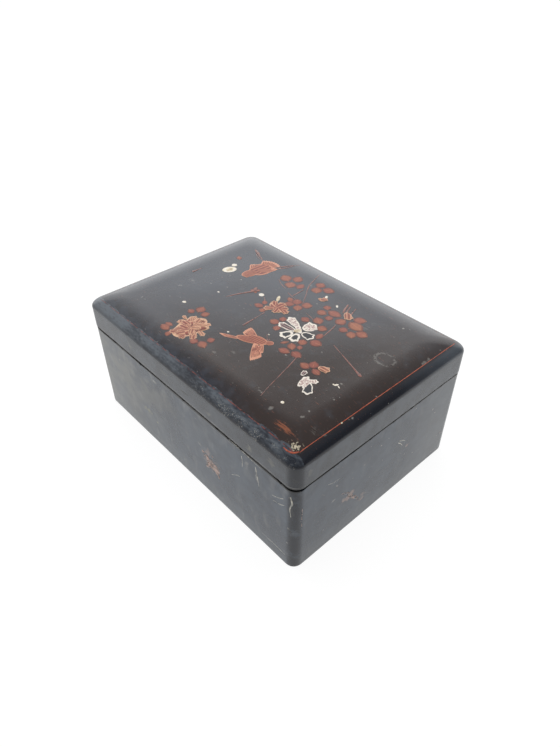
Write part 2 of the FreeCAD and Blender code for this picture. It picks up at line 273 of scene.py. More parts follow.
# %% Lamp
LAMP_HEIGHT = 1.6
LAMP_SIZE = 1.3
LAMP_SHARE = 0.42
lamp = bpy.data.objects.new("lamp", bpy.data.lights.new("lamp", "AREA"))
bpy.context.collection.objects.link(lamp)
lamp.data.size = LAMP_SIZE
lamp.data.energy = LAMP_SHARE * (math.pi * LAMP_HEIGHT) ** 2
lamp.location = (-0.25, 0.15, LAMP_HEIGHT)
lamp.rotation_euler = Vector(lamp.location).to_track_quat("Z", "Y").to_euler()
lamp.visible_glossy = False
print("lamp", round(lamp.data.energy, 1), "W")

# %% [markdown]
# ## White table
#
# The box stands on a sheet of white that runs out to the horizon. A plain white surface would show grey
# where the box shades it, so the sheet glows for the camera and for mirrored rays, and only rays that light
# the box see it as matt. It lies a hair below the box, so that the two never share a plane.

# %% Floor
FLOOR_REACH = 6.0
FLOOR_DROP = 0.0002
FLOOR_GREY = (0.9, 0.9, 0.9, 1)
FLOOR_GLOW = 1.09
GLOW_SHARE = 0.85

corners = [(-1, -1), (1, -1), (1, 1), (-1, 1)]
floor_mesh = bpy.data.meshes.new("floor")
floor_points = [(a * FLOOR_REACH, b * FLOOR_REACH, -FLOOR_DROP) for a, b in corners]
floor_mesh.from_pydata(floor_points, [], [(0, 1, 2, 3)])
floor = bpy.data.objects.new("floor", floor_mesh)
bpy.context.collection.objects.link(floor)

floor_paint, paint = finish("white_table")
path = paint.node("ShaderNodeLightPath", output="Is Camera Ray")
mirrored = paint.math("MAXIMUM", path.other("Is Glossy Ray"), path.other("Is Transmission Ray"))
bright = paint.math("MAXIMUM", path, mirrored)
matt = paint.node("ShaderNodeBsdfDiffuse", {}, {"Color": FLOOR_GREY})
glow = paint.node("ShaderNodeEmission", {}, {"Color": WHITE, "Strength": FLOOR_GLOW})
mixed = paint.node("ShaderNodeMixShader", {}, {0: bright * GLOW_SHARE, 1: matt, 2: glow})
paint.node("ShaderNodeOutputMaterial", {}, {"Surface": mixed})
floor_mesh.materials.append(floor_paint)
print("white table", 2 * FLOOR_REACH, "m wide")

# %% [markdown]
# ## Skins of lacquer
#
# The boards of the lid and of the base are coated as one, so that no joint between them shows. Each skin
# is a stack of rings: the same round-cornered rectangle, drawn in by a little more at each height. The
# rows of a skin follow its section, so a shoulder is a quarter of an ellipse and an edge is a quarter of
# a circle. A bevelled box would be quicker to make, but its shoulder couldn't follow such a section. Rings
# keep their points in order, and joining each to the next closes the skin.

# %% Rings
CORNER_STEPS = 12
LONG_STEPS = 168
SHORT_STEPS = 120
SHARP_ANGLE = math.radians(38)


def stretch(start, end, steps):
    """Points from start towards end, without the end itself."""
    return [start + (end - start) * n / steps for n in range(steps)]


def ring(half_length, half_width, radius):
    """Points anticlockwise round a rectangle with round corners, from the middle of its right side."""
    x = half_length - radius
    y = half_width - radius
    points = [(half_length, v) for v in stretch(0.0, y, SHORT_STEPS // 2)]
    for corner, (cx, cy) in enumerate([(x, y), (-x, y), (-x, -y), (x, -y)]):
        for angle in stretch(corner * math.pi / 2, (corner + 1) * math.pi / 2, CORNER_STEPS):
            points.append((cx + radius * math.cos(angle), cy + radius * math.sin(angle)))
        if corner == 0:
            points += [(v, half_width) for v in stretch(x, -x, LONG_STEPS)]
        elif corner == 1:
            points += [(-half_length, v) for v in stretch(y, -y, SHORT_STEPS)]
        elif corner == 2:
            points += [(v, -half_width) for v in stretch(-x, x, LONG_STEPS)]
    points += [(half_length, v) for v in stretch(-y, 0.0, SHORT_STEPS // 2)]
    return points


def mesh_object(name, points, faces, material=None, edges=()):
    """An object from points in millimetres, linked to the scene and smooth but at its sharp edges."""
    mesh = bpy.data.meshes.new(name)
    mesh.from_pydata([[v * MM for v in p] for p in points], list(edges), faces)
    mesh.validate()
    if faces:
        mesh.shade_smooth()
        mesh.set_sharp_from_angle(angle=SHARP_ANGLE)
    if material:
        mesh.materials.append(material)
    made = bpy.data.objects.new(name, mesh)
    bpy.context.collection.objects.link(made)
    return made


print("rings ready")

# %% Skins


def skin(name, half_length, half_width, rows, closed, change):
    """Stack of rings from rows of (inset, height, radius). Ends are closed by bars from front to back."""
    points = []
    for inset, level, radius in rows:
        for x, y in ring(half_length - inset, half_width - inset, radius):
            points.append(change(x, y, level))
    count = len(points) // len(rows)
    faces = []
    for row in range(len(rows) if closed else len(rows) - 1):
        low = row * count
        high = (row + 1) % len(rows) * count
        for n in range(count):
            after = (n + 1) % count
            faces.append((low + n, low + after, high + after, high + n))
    if not closed:
        last = (len(rows) - 1) * count
        for n in range(count // 2):
            bar = [n, n + 1, count - n - 1, (count - n) % count]
            bar = sorted(set(bar), key=bar.index)
            faces.append([last + v for v in bar])
            faces.append(bar[::-1])
    return mesh_object(name, points, faces)


def quarter(inset, level, run, rise, start, end, steps):
    """Rows along a quarter ellipse. The angle goes from start to end, in degrees."""
    rows = []
    for n in range(steps + 1):
        angle = math.radians(start + (end - start) * n / steps)
        rows.append((inset + run * (1 - math.cos(angle)), level + rise * math.sin(angle)))
    return rows


print("a skin has", 2 * (LONG_STEPS + SHORT_STEPS) + 4 * CORNER_STEPS, "points in each ring")

# %% [markdown]
# ## Lid skin
#
# The lid is one lacquered shell: rails 17.5 mm high, a broad round shoulder and a top that swells by less
# than a millimetre. Inside, the board is hollowed. A perfect machine shape would look wrong, so a slow
# unevenness of a tenth of a millimetre is added, and the edge of the seam is nibbled away here and there.

# %% Lid sizes from the frame
board_low, board_high = (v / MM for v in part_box("lid_top_board"))
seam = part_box("lid_front_rail")[0].z / MM
lid_underside = board_low.z
lid_top = board_high.z
lid_half_length = board_high.x
lid_half_width = board_high.y
lid_corner = 8.3
lid_wall = 6.9
board_edge = 1.5
shoulder_run = 26.0
shoulder_rise = 10.0
crown_rise = 0.8
CROWN_STEPS = 14
dish_margin = 6.0
dish_run = 12.0
dish_depth = 4.5
edge_round = 0.6
print("seam at", round(seam, 2), "mm, lid top at", round(lid_top, 2), "mm")

# %% Section of the lid


def ripple(x, y, z, size, seed):
    """Slow noise round zero at a point."""
    return noise.noise(Vector((x / size + seed, y / size - seed, z / size)))


def lid_rows():
    """The lid's section, from the hollow's ceiling out and down to the seam, and up over the top."""
    rows = []
    dish = quarter(lid_wall + dish_margin, lid_underside, dish_run, dish_depth, 90, 0, 6)
    rows += [(inset, level, lid_corner) for inset, level in dish]
    rows.append((lid_wall + dish_margin / 2, lid_underside, lid_corner - lid_wall / 2))
    for level in stretch(lid_underside, seam + edge_round, 4):
        rows.append((lid_wall, level, lid_corner - lid_wall))
    inner_edge = quarter(lid_wall, seam + edge_round, -edge_round, -edge_round, 0, 90, 3)
    outer_edge = quarter(0.0, seam + edge_round, edge_round, -edge_round, 90, 0, 4)
    rows += [(inset, level, lid_corner - inset) for inset, level in inner_edge + outer_edge]
    top_of_edge = lid_underside + board_edge
    rows += [(0.0, level, lid_corner) for level in stretch(seam + 1.2, top_of_edge, 9)]
    shoulder = quarter(0.0, top_of_edge, shoulder_run, shoulder_rise, 0, 90, 22)
    rows += [(inset, level, lid_corner) for inset, level in shoulder]
    oval = lid_half_width / 5
    for n in range(1, CROWN_STEPS + 1):
        share = n / CROWN_STEPS
        inset = shoulder_run + (lid_half_width - oval - shoulder_run) * share
        radius = lid_corner + (0.95 * (lid_half_width - inset) - lid_corner) * share
        level = top_of_edge + shoulder_rise + crown_rise * (1 - math.cos(math.pi * share)) / 2
        rows.append((inset, level, radius))
    return rows


print(len(lid_rows()), "rows in the lid's section")

# %% Lid skin
SINKING = 0.34
SINK_DEPTH = 7.0
BITE_HEIGHT = 1.3


def eased(share):
    """A share from 0 to 1 that starts and ends gently."""
    share = min(1.0, max(0.0, share))
    return share * share * (3 - 2 * share)


def wear_lid(x, y, z):
    """A top that has sunk a little, hand-rubbed unevenness, and bites out of the lower edge."""
    swell = 0.09 * ripple(x, y, z, 34, 2.0) + 0.025 * ripple(x, y, z, 7, 5.0)
    z -= (SINKING - swell) * eased((z - lid_top + SINK_DEPTH) / (SINK_DEPTH - 1))
    if z > lid_top - 1.5:
        return x, y, z
    outside = abs(x) > lid_half_length - 0.8 or abs(y) > lid_half_width - 0.8
    if outside and z < seam + BITE_HEIGHT:
        bite = max(0.0, ripple(x, y, z, 2.6, 9.0) - 0.2) * 1.0 + max(0.0, ripple(x, y, z, 17, 3.0)) * 0.5
        z = min(z + bite, seam + BITE_HEIGHT)
    pull = 1 - max(0.0, 0.05 + swell * 0.5) / 100
    return x * pull, y * pull, z


lid_skin = skin("lid_skin", lid_half_length, lid_half_width, lid_rows(), False, wear_lid)
print("lid skin", len(lid_skin.data.polygons), "faces")

# %% [markdown]
# ## Base skin
#
# The four walls of the base share one skin as well. Its section is a closed loop: up the outside, over the
# rim to the liner, down the inside and out round the rebate that holds the floor. The rim dips by up to
# about two millimetres along the front, so that the seam opens and closes along the box as it does on the
# old one. Only the skin dips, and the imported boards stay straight.

# %% Section of the base
base_half_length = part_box("base_right_wall")[1].x / MM
base_half_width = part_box("base_back_wall")[1].y / MM
base_corner = 8.0
wall_thickness = 7.0
floor_rebate = 3.5
floor_thickness = 6.0
foot_round = 1.2


def base_rows():
    """The section of the base's walls, as a closed loop from the foot upwards."""
    rows = quarter(0.0, foot_round, foot_round, -foot_round, 90, 0, 4)
    rows += [(0.0, level) for level in stretch(foot_round + 2, seam - 4, 14)]
    rows += [(0.0, seam - v) for v in (4.0, 3.2, 2.4, 1.8, 1.2)]
    rows += quarter(0.0, seam - edge_round, edge_round, edge_round, 0, 90, 4)
    rows += [(v, seam) for v in (2.0, 4.5, wall_thickness)]
    rows += [(wall_thickness, level) for level in stretch(seam - 1.5, floor_thickness, 5)]
    rows += [(wall_thickness, floor_thickness), (floor_rebate, floor_thickness), (floor_rebate, 0.0)]
    return [(inset, level, base_corner - inset) for inset, level in rows]


print(len(base_rows()), "rows in the base's section")

# %% Base skin


def seam_dip(x, y):
    """How far the rim stands below the lid here."""
    dip = 0.5 + 0.4 * ripple(x, y, 0, 55, 11.0)
    if x > base_half_length - 9:
        dip += 0.5 * (1 - min(1.0, max(0.0, (y + 30) / 60)))
    if y < -base_half_width + 9:
        dip += 0.55 + 0.7 * max(0.0, 1 - abs(x + 105) / 20) + 0.6 * max(0.0, 1 - abs(x + 51) / 20)
    return max(0.0, dip)


def wear_base(x, y, z):
    """Unevenness of the walls, the dip of the rim and chips along it."""
    outside = abs(x) > base_half_length - 1 or abs(y) > base_half_width - 1
    share = max(0.0, (z - seam + 5) / 5)
    if share > 0:
        z -= share * seam_dip(x, y)
        if outside and z > seam - 2.6:
            z -= max(0.0, ripple(x, y, z, 2.2, 21.0) - 0.18) * 2.2 * share
    if outside:
        swell = 0.05 + 0.10 * ripple(x, y, z, 40, 7.0) + 0.02 * ripple(x, y, z, 6, 4.0)
        pull = 1 - max(0.0, swell) / 100
        return x * pull, y * pull, max(z, 0.0)
    return x, y, max(z, 0.0)


base_skin = skin("base_skin", base_half_length, base_half_width, base_rows(), True, wear_base)
print("base skin", len(base_skin.data.polygons), "faces")

# %% [markdown]
# ## Old lacquer
#
# Lacquer itself is nearly black, with a sheen like glass that a century has dulled. What makes it look
# real is the bloom: a thin grey-blue haze that lies in clouds, thicker on the sides. The front shoulder is
# rubbed through to a pitted blue-black, the corners carry pale rubbing marks, and specks of old paint cling
# below. Each mark is a mask from the point's place, so that it keeps to its spot from every side.
# Some masks paint light as well: painted reflections pale the far ends and the foot of the sides, and
# painted shade and a painted highlight line follow the seam.

# %% Colours of old lacquer
BROWN_BLACK = rgb(46, 34, 31)
BLUE_BLOOM_AND_REFLECTION = rgb(42, 50, 64)
GREY_BLACK = rgb(48, 53, 61)
BLOOM = rgb(70, 77, 86)
DUST_BLUE_AND_REFLECTION = rgb(90, 98, 107)
NAVY = rgb(13, 19, 32)
BLACK = rgb(8, 8, 9)
OLIVE = rgb(116, 115, 106)
ORANGE_HAZE = rgb(168, 96, 62)
PINK_GHOST = rgb(176, 148, 136)
PALE_RUB_AND_HIGHLIGHT = rgb(168, 166, 160)
CREAM = rgb(226, 214, 186)
WALL_BLUE = rgb(50, 60, 74)
PALE_BLUE = rgb(71, 83, 97)
BARE_GROUND = rgb(20, 28, 42)
FAR_END_REFLECTION_GREY = rgb(126, 128, 126)
LOW_WALL_REFLECTION = rgb(120, 126, 130)
DULL_YELLOW = rgb(150, 146, 112)
print("lacquer colours ready")

# %% [markdown]
# ## Clouds and marks
#
# A mark keeps its place best as a mask of its own: an oval round a point, made ragged by noise. An oval on
# the lid's top reaches down as far as it likes. One on a wall reaches only through that wall, so that the
# wall across from it stays clean.

# %% Clouds and marks
FAR = 400.0
THROUGH_WALL = 40.0
FRONT_WALL = -90.0
RIGHT_WALL = 125.0


def clouds(board, place):
    """Three sizes of mottling that every lacquered face shares."""
    return board.noise(place, 42, 4, 3.1), board.noise(place, 9, 4, 8.3), board.noise(place, 1.3, 2, 1.7)


def on_top(x, y, length, width, strength):
    """A mark on the lid's top, as its centre, its size and its strength."""
    return (x, y, 0), (length, width, FAR), strength


def on_front(x, z, length, height, strength, y=FRONT_WALL):
    """A mark on the front wall."""
    return (x, y, z), (length, THROUGH_WALL, height), strength


def on_right(y, z, width, height, strength):
    """A mark on the right wall."""
    return (RIGHT_WALL, y, z), (THROUGH_WALL, width, height), strength


def smears(board, place, colour, tint, marks):
    """Ragged ovals of a tint over a colour, one for each mark."""
    ragged = board.noise(place, 3.2, 8, 7.7, (1.3, 1.3, 1))
    for centre, size, strength in marks:
        mask = board.blot(place, centre, size, 0.0) * 0.45 + ragged
        colour = board.mix(board.band(mask, 0.68, 0.95) * strength, colour, tint)
    return colour


print("marks ready")

# %% Rubs and ghosts
top_rubs = [
    on_top(98.8, -60.8, 4, 3, 0.5),
    on_top(79.7, -69.2, 4.5, 4, 0.4),
    on_top(17.5, -50, 6, 3, 0.3),
    on_top(8, -61, 5, 3, 0.3),
    on_top(-83, -13, 9, 5, 0.2),
    on_top(-10, 57, 4, 2, 0.5),
    on_top(-48.5, 57.5, 5, 3.5, 0.6),
    on_top(117, 47, 3, 9, 0.5),
    on_top(-20, -60, 11, 3, 0.2),
]
band_rubs = [
    on_front(-63, 95, 5, 8, 0.5),
    on_front(38, 93, 8, 4, 0.6),
    on_front(82, 92, 5, 7, 0.7),
    on_front(103, 97, 7, 7, 0.5),
    on_front(-15, 97, 14, 3, 0.3),
    ((122, -87, 94), (4, 5, 9), 0.7),
    on_right(-78, 96, 5, 7, 0.4),
]
yellow_rubs = [on_front(-53, 33, 12, 7, 0.5), on_front(-40, 27.5, 3, 3, 0.6)]
ghost_rubs = [on_front(35, 37, 19, 13, 0.7), on_front(31, 48, 8, 9, 0.5), on_right(-36, 38, 13, 8, 0.7)]
ghost_rubs += [on_right(-20, 24, 9, 8, 0.5), on_right(30, 43, 5, 3, 0.6)]
wall_rubs = [
    on_front(21, 50, 4, 4, 0.6),
    on_front(-33, 77, 6, 3, 0.5),
    on_front(78, 74, 4, 9, 0.4),
    on_front(88, 70, 3, 10, 0.5),
    on_right(-53, 47, 4, 2.5, 0.6),
    on_front(121, 62, 3, 13, 0.6, -87),
    on_front(100, 11, 17, 1.5, 0.5),
    on_front(119, 44, 2, 3, 0.8, -88),
    on_front(118, 27, 2, 2, 0.9, -89),
]
print(len(top_rubs) + len(band_rubs), "rubs on the lid,", len(wall_rubs), "on the walls")

# %% Lacquer of the lid


def lid_lacquer():
    """Brown-black top with a painted reflection that turns it blue to the far left and pales the right
    edge, rubbed front shoulder, grey upright band, and painted shade and a painted highlight along the
    seam.
    """
    material, board = finish("lid_lacquer")
    place = board.place()
    x, y, z = board.axes(place)
    cloud, mottle, grain = clouds(board, place)
    front = y + lid_half_width
    # The top, from brown-black near the front corner to blue at the far left: a painted reflection of the
    # bright side, with the bloom's pale clouds laid over it.
    far = board.band(y * 0.6 - x * 0.6 + (cloud - 0.5) * 70, -60.0, 55.0)
    colour = board.mix(far, BROWN_BLACK, BLUE_BLOOM_AND_REFLECTION)
    colour = board.mix(board.band(mottle, 0.5, 0.85) * 0.35, colour, BLOOM)
    blue = board.band(front + (cloud - 0.5) * 16, 24.0, 9.0) * board.band(x, 80.0, 20.0)
    colour = board.mix(blue * 0.75, colour, board.mix(board.band(mottle, 0.35, 0.65), NAVY, BLUE_BLOOM_AND_REFLECTION))
    scuff = board.noise(place, 1.0, 4, 4.9, (9, 1, 1)) * board.band(cloud, 0.4, 0.7)
    colour = board.mix(board.band(scuff, 0.5, 0.72) * 0.25, colour, PALE_RUB_AND_HIGHLIGHT)
    # Along the right edge, a painted reflection: navy at the front, paler toward the back.
    right = board.band(x, lid_half_length - 9.0, lid_half_length - 4.0)
    right_edge_reflection = board.mix(board.band(y + (cloud - 0.5) * 50, 5.0, 95.0) * 0.8, NAVY, DUST_BLUE_AND_REFLECTION)
    colour = board.mix(right, colour, right_edge_reflection)
    # Rubs, the pale ring, and the haze and the cream flecks near the front corner.
    colour = smears(board, place, colour, PALE_RUB_AND_HIGHLIGHT, top_rubs)
    ring_place = (97.2, 24.2, 0)
    halo = board.blot(place, ring_place, (10, 9, FAR), 0.8)
    halo = halo - board.blot(place, ring_place, (7.5, 6.5, FAR), 0.8)
    colour = board.mix(halo * board.band(mottle + (grain - 0.5), 0.4, 0.6) * 0.3, colour, PALE_RUB_AND_HIGHLIGHT)
    streaks = board.noise(place, 0.7, 5, 6.6, (7, 1, 1))
    haze = board.blot(place, (98, -74.5, 0), (16, 5, FAR), 0.0) * 0.4 + streaks
    colour = board.mix(board.band(haze, 0.62, 0.85) * 0.6, colour, ORANGE_HAZE)
    corner = board.blot(place, (113.5, -79.5, 0), (10, 8, FAR), 0.0) * 0.4 + board.noise(place, 1.4, 6, 3.3)
    colour = board.mix(board.band(corner, 0.72, 0.86) * 0.8, colour, CREAM)
    # The upright band, whose upper edge wavers.
    edge = lid_underside + board_edge + (mottle - 0.5) * 2.5
    upright = board.band(z - edge, 0.8, -0.8)
    sides = board.mix(board.band(mottle + (cloud - 0.5), 0.3, 0.75), GREY_BLACK, BLOOM)
    sides = smears(board, place, sides, board.mix(front * 0.01, OLIVE, BLOOM), band_rubs)
    slit = board.blot(place, (10, -90, 94), (6.5, 30, 1.2), 0.5)
    sides = board.mix(slit * 0.9, sides, BLACK)
    colour = board.mix(upright, colour, sides)
    # The front shoulder: worn off outside a wavering line, with the dark ground bare below.
    wander = (mottle - 0.5) * 6 + (grain - 0.5) * 1.5
    worn = board.band(front + wander, 8.6, 7.4) * (1 - upright)
    speckle = board.noise(place, 1.5, 6, 5.5, (2.5, 1, 1))
    patches = board.noise(place, 12, 6, 2.9, (2, 1, 1)) + (speckle - 0.5) * 0.7
    near = board.band(x, 10.0, -70.0) * 0.14
    strip = board.mix(board.band(patches + near, 0.3, 0.74), BARE_GROUND, DUST_BLUE_AND_REFLECTION)
    low = board.band(z + (mottle - 0.5) * 5, lid_top - 6.8, lid_top - 9.8)
    strip = board.mix(low * (1 - near * 4), strip, NAVY)
    colour = board.mix(worn, colour, strip)
    specks = board.band(board.noise(place, 0.7, 3, 2.2), 0.57, 0.63) * board.band(front, 5.5, 3.0)
    specks = specks * board.band(x, 0.0, 50.0) * board.band(mottle, 0.4, 0.6) * (1 - upright)
    colour = board.mix(specks * 0.8, colour, PALE_RUB_AND_HIGHLIGHT)
    bruise = board.blot(place, (lid_half_length, -lid_half_width, 0), (11, 11, FAR), 0.5)
    colour = board.mix(bruise * upright * 0.85, colour, NAVY)
    # The lower edge: painted shade in the seam, with a painted highlight line above it.
    seam_side = board.band(front, 9.0, 1.0)
    above_seam = z - seam
    shade = board.band(above_seam + (mottle - 0.5) * 0.8 - seam_side * 0.5, 1.0, 0.6)
    colour = board.mix(shade, colour, BLACK)
    # The mask named rubbed is the painted highlight line above the seam, stronger along the front.
    rubbed = board.band(board.math("ABSOLUTE", above_seam - 1.8), 0.6, 0.1) * board.band(mottle, 0.35, 0.6)
    colour = board.mix(rubbed * (0.1 + seam_side * 0.25), colour, PALE_RUB_AND_HIGHLIGHT)
    roughness = 0.2 + cloud * 0.06 + worn * (mottle * 0.35)
    bump = grain * 0.1 + mottle * 0.5 + worn * speckle * 1.2
    surface(board, colour, roughness, bump, 0.05, IOR=1.52)
    return material


lid_skin.data.materials.append(lid_lacquer())
print("lacquer on the lid")

# %% Lacquer of the base


def base_lacquer():
    """Blue-grey walls, bloomed in clouds and streaks, olive to the far left, bare navy at the corner, with
    painted reflections paler at the far ends and the foot, and painted shade along the seam.
    """
    material, board = finish("base_lacquer")
    place = board.place()
    x, y, z = board.axes(place)
    cloud, mottle, grain = clouds(board, place)
    drift = board.noise(place, 8, 6, 6.0, (1.6, 1.6, 1))
    colour = board.mix(board.band(cloud + (drift - 0.5) * 0.6, 0.3, 0.7), WALL_BLUE, PALE_BLUE)
    olive = board.band(board.noise(place, 24, 5, 12.0) + (drift - 0.5) * 0.5, 0.4, 0.66)
    face_front = board.band(y, 10 - base_half_width, 1 - base_half_width)
    face_right = board.band(x, base_half_length - 10, base_half_length - 1)
    olive = olive * board.band(z * 0.6 - x * 0.5, 10.0, 85.0)
    colour = board.mix(olive * (face_front * 0.5 + 0.2), colour, OLIVE)
    # Painted reflection: the front wall is paler toward its left end and the right wall toward its back
    # end.
    faint = board.band(x + (cloud - 0.5) * 50, -40.0, -115.0) * face_front
    faint = faint + board.band(y, 10.0, 85.0) * 0.7 * face_right
    colour = board.mix(faint * 0.5, colour, FAR_END_REFLECTION_GREY)
    # Painted reflection of the table: the walls are paler toward the foot.
    colour = board.mix(board.band(z + (mottle - 0.5) * 8, 20.0, 4.0) * 0.3, colour, LOW_WALL_REFLECTION)
    veil = board.noise(place, 9, 8, 2.0, (1, 1, 2)) + board.band(z, seam - 25.5, seam - 1.5) * 0.05
    colour = board.mix(board.band(veil, 0.5, 0.8) * (0.1 + face_front * 0.15), colour, PALE_RUB_AND_HIGHLIGHT)
    colour = smears(board, place, colour, DULL_YELLOW, yellow_rubs)
    colour = smears(board, place, colour, PINK_GHOST, ghost_rubs)
    colour = smears(board, place, colour, PALE_RUB_AND_HIGHLIGHT, wall_rubs)
    bruise = board.blot(place, (base_half_length, -base_half_width, 0), (9, 9, FAR), 0.5)
    colour = board.mix(bruise * board.band(mottle, 0.75, 0.5) * 0.9, colour, NAVY)
    # Painted shade along the seam: a black patch under the lid at the front, and a black band along the top
    # of the rim.
    under = board.blot(place, (0, -90, 83.5), (19, 40, 1.8), 0.5)
    colour = board.mix(under * 0.8, colour, BLACK)
    rim = board.band(z - seam + (mottle - 0.5) * 2.2 + face_front * 1.0, -2.2, -1.5)
    colour = board.mix(rim, colour, BLACK)
    foot = board.band(board.math("ABSOLUTE", z - 3.0), 1.0, 0.3) * face_right
    colour = board.mix(foot * 0.4, colour, NAVY)
    surface(board, colour, 0.2 + mottle * 0.08, grain * 0.06 + mottle * 0.6, 0.05, IOR=1.52)
    return material


base_skin.data.materials.append(base_lacquer())
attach(lid_skin, "lid")
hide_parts("lid_top_board", "lid_front_rail", "lid_back_rail", "lid_left_rail", "lid_right_rail")
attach(base_skin, "base")
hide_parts("base_front_wall", "base_back_wall", "base_left_wall", "base_right_wall")
print("lacquer on the base")

# %% [markdown]
# ## Painted ornament
#
# The painter built each motif from a few strokes: a pointed leaf, a notched petal, a feather, a drop. So
# each stroke is made once, as a thin plate, and Geometry Nodes lays copies of it on the lid: every seed
# point carries its turn, size, height and tone, and a ray cast down finds the lacquer under each point.
# A picture laid over the lid would be the usual way, but plates stay crisp from close by and catch the
# light along their rims. Birds, leaves and blossoms of this kind are common ornament, and they are drawn
# anew here from generic forms.

# %% Plates
PAINT_DEPTH = 0.05
PLATE_ROWS = ((1.0, 0.0), (1.0, 0.8), (0.78, 1.0), (0.45, 1.05))
PLATE_TOP = 1.08


def keep_numbers(made, numbers):
    """Keep lists of numbers on the points of a mesh, each under its name."""
    for key, values in numbers.items():
        made.data.attributes.new(key, "FLOAT", "POINT").data.foreach_set("value", values)


def plate(name, half_width, steps=9, frill=0.0):
    """Closed plate two units long. half_width gives its half width from -1, its root, to 1, its tip."""
    rim = []
    for n in range(steps * 2):
        angle = math.pi * n / steps
        wave = 1 + frill * math.cos(7 * angle) * (1 + math.cos(angle)) / 2
        along = math.cos(angle)
        across = math.copysign(half_width(along), math.sin(angle)) if n % steps else 0.0
        rim.append((along * wave, across * wave))
    count = len(rim)
    points = []
    rims = []
    for share, level in PLATE_ROWS:
        points += [(x * share, y * share, level) for x, y in rim]
        rims += [share] * count
    points += [(0, 0, PLATE_TOP), (0, 0, 0.0)]
    rims += [0.0, 0.0]
    last = (len(PLATE_ROWS) - 1) * count
    faces = []
    for low in range(0, last, count):
        for n in range(count):
            after = (n + 1) % count
            faces.append((low + n, low + after, low + count + after, low + count + n))
    for n in range(count):
        after = (n + 1) % count
        faces.append((last + n, last + after, last + count))
        faces.append((after, n, last + count + 1))
    made = mesh_object(name, [tuple(v / MM for v in p) for p in points], faces)
    numbers = {"rim": rims, "along": [p[0] for p in points], "across": [p[1] for p in points]}
    keep_numbers(made, numbers)
    made.hide_render = True
    return made


plates = {
    "leaf": plate("leaf_plate", lambda s: (1 - s * s) ** 0.74 * (1.08 - 0.1 * s)),
    "petal": plate("petal_plate", lambda s: (1 - s ** 4) ** 0.5 * (0.78 + 0.22 * s), 20, 0.11),
    "feather": plate("feather_plate", lambda s: (1 - s ** 4) ** 0.6 * (1.0 - 0.2 * s)),
    "drop": plate("drop_plate", lambda s: (1 - s * s) ** 0.5),
}
print("plates:", ", ".join(plates))

# %% [markdown]
# ## Trees that lay paint on a surface
#
# Two Geometry Nodes trees do the painting. One copies a plate to each seed point, the other turns each line
# of seeds into a flat tube as a brush stroke. Both then drop every point onto the lacquer below it, which a
# Shrinkwrap modifier could do as well, but the tree keeps each point's own height over the ground.

# %% What the trees share
OBJECT = "NodeSocketObject"
NUMBER = "NodeSocketFloat"
PAINT = "NodeSocketMaterial"
RAY_START = 1.0
RAY_LENGTH = 2.0


def geometry_tree(name, *inputs):
    """An empty Geometry Nodes tree with named inputs, and its board."""
    tree = bpy.data.node_groups.new(name, "GeometryNodeTree")
    tree.interface.new_socket("Geometry", in_out="INPUT", socket_type="NodeSocketGeometry")
    for label, kind in inputs:
        tree.interface.new_socket(label, in_out="INPUT", socket_type=kind)
    tree.interface.new_socket("Geometry", in_out="OUTPUT", socket_type="NodeSocketGeometry")
    board = Board(tree)
    return tree, board, board.node("NodeGroupInput")


def named(board, name):
    """A number that each seed point carries."""
    return board.node("GeometryNodeInputNamedAttribute", {"data_type": "FLOAT"}, {"Name": name})


def drop_on(board, shape, ground, level):
    """Move each point onto the ground below it, plus its level. Where there is none, the ground is 0."""
    target = board.node("GeometryNodeObjectInfo", {}, {"Object": ground}, "Geometry")
    x, y, z = board.axes(board.node("GeometryNodeInputPosition"))
    start = board.node("ShaderNodeCombineXYZ", {}, {0: x, 1: y, 2: RAY_START})
    ray = {"Source Position": start, "Ray Direction": (0, 0, -1), "Ray Length": RAY_LENGTH}
    hit = board.node("GeometryNodeRaycast", {}, {"Target Geometry": target, **ray}, "Hit Position")
    found = board.axes(hit)[2]
    place = board.node("ShaderNodeCombineXYZ", {}, {0: x, 1: y, 2: found + level(z)})
    return board.node("GeometryNodeSetPosition", {}, {"Geometry": shape, "Position": place})


def finish_tree(board, shape, paint):
    """End a tree with Realize Instances and Set Material."""
    real = board.node("GeometryNodeRealizeInstances", {}, {"Geometry": shape})
    painted = board.node("GeometryNodeSetMaterial", {}, {"Geometry": real, "Material": paint})
    board.node("NodeGroupOutput", {}, {"Geometry": painted})


def tube(board, path, spacing, step, sides):
    """A capped tube along each path, as wide as its seeds say. Points know how far along they are."""
    line = board.node("GeometryNodeMeshToCurve", {}, {"Mesh": path})
    line = board.node("GeometryNodeCurveSplineType", {"spline_type": "CATMULL_ROM"}, {"Curve": line})
    values = {"Curve": line, spacing: step}
    line = board.node("GeometryNodeResampleCurve", {"mode": spacing.upper()}, values)
    values = {"Geometry": line, "Name": "along", "Value": board.node("GeometryNodeSplineParameter")}
    line = board.node("GeometryNodeStoreNamedAttribute", {"data_type": "FLOAT", "domain": "POINT"}, values)
    section = board.node("GeometryNodeCurvePrimitiveCircle", {}, {"Resolution": sides, "Radius": 1.0})
    values = {"Curve": line, "Profile Curve": section, "Fill Caps": True, "Scale": named(board, "wide")}
    return board.node("GeometryNodeCurveToMesh", {}, values)


print("parts of the trees ready")

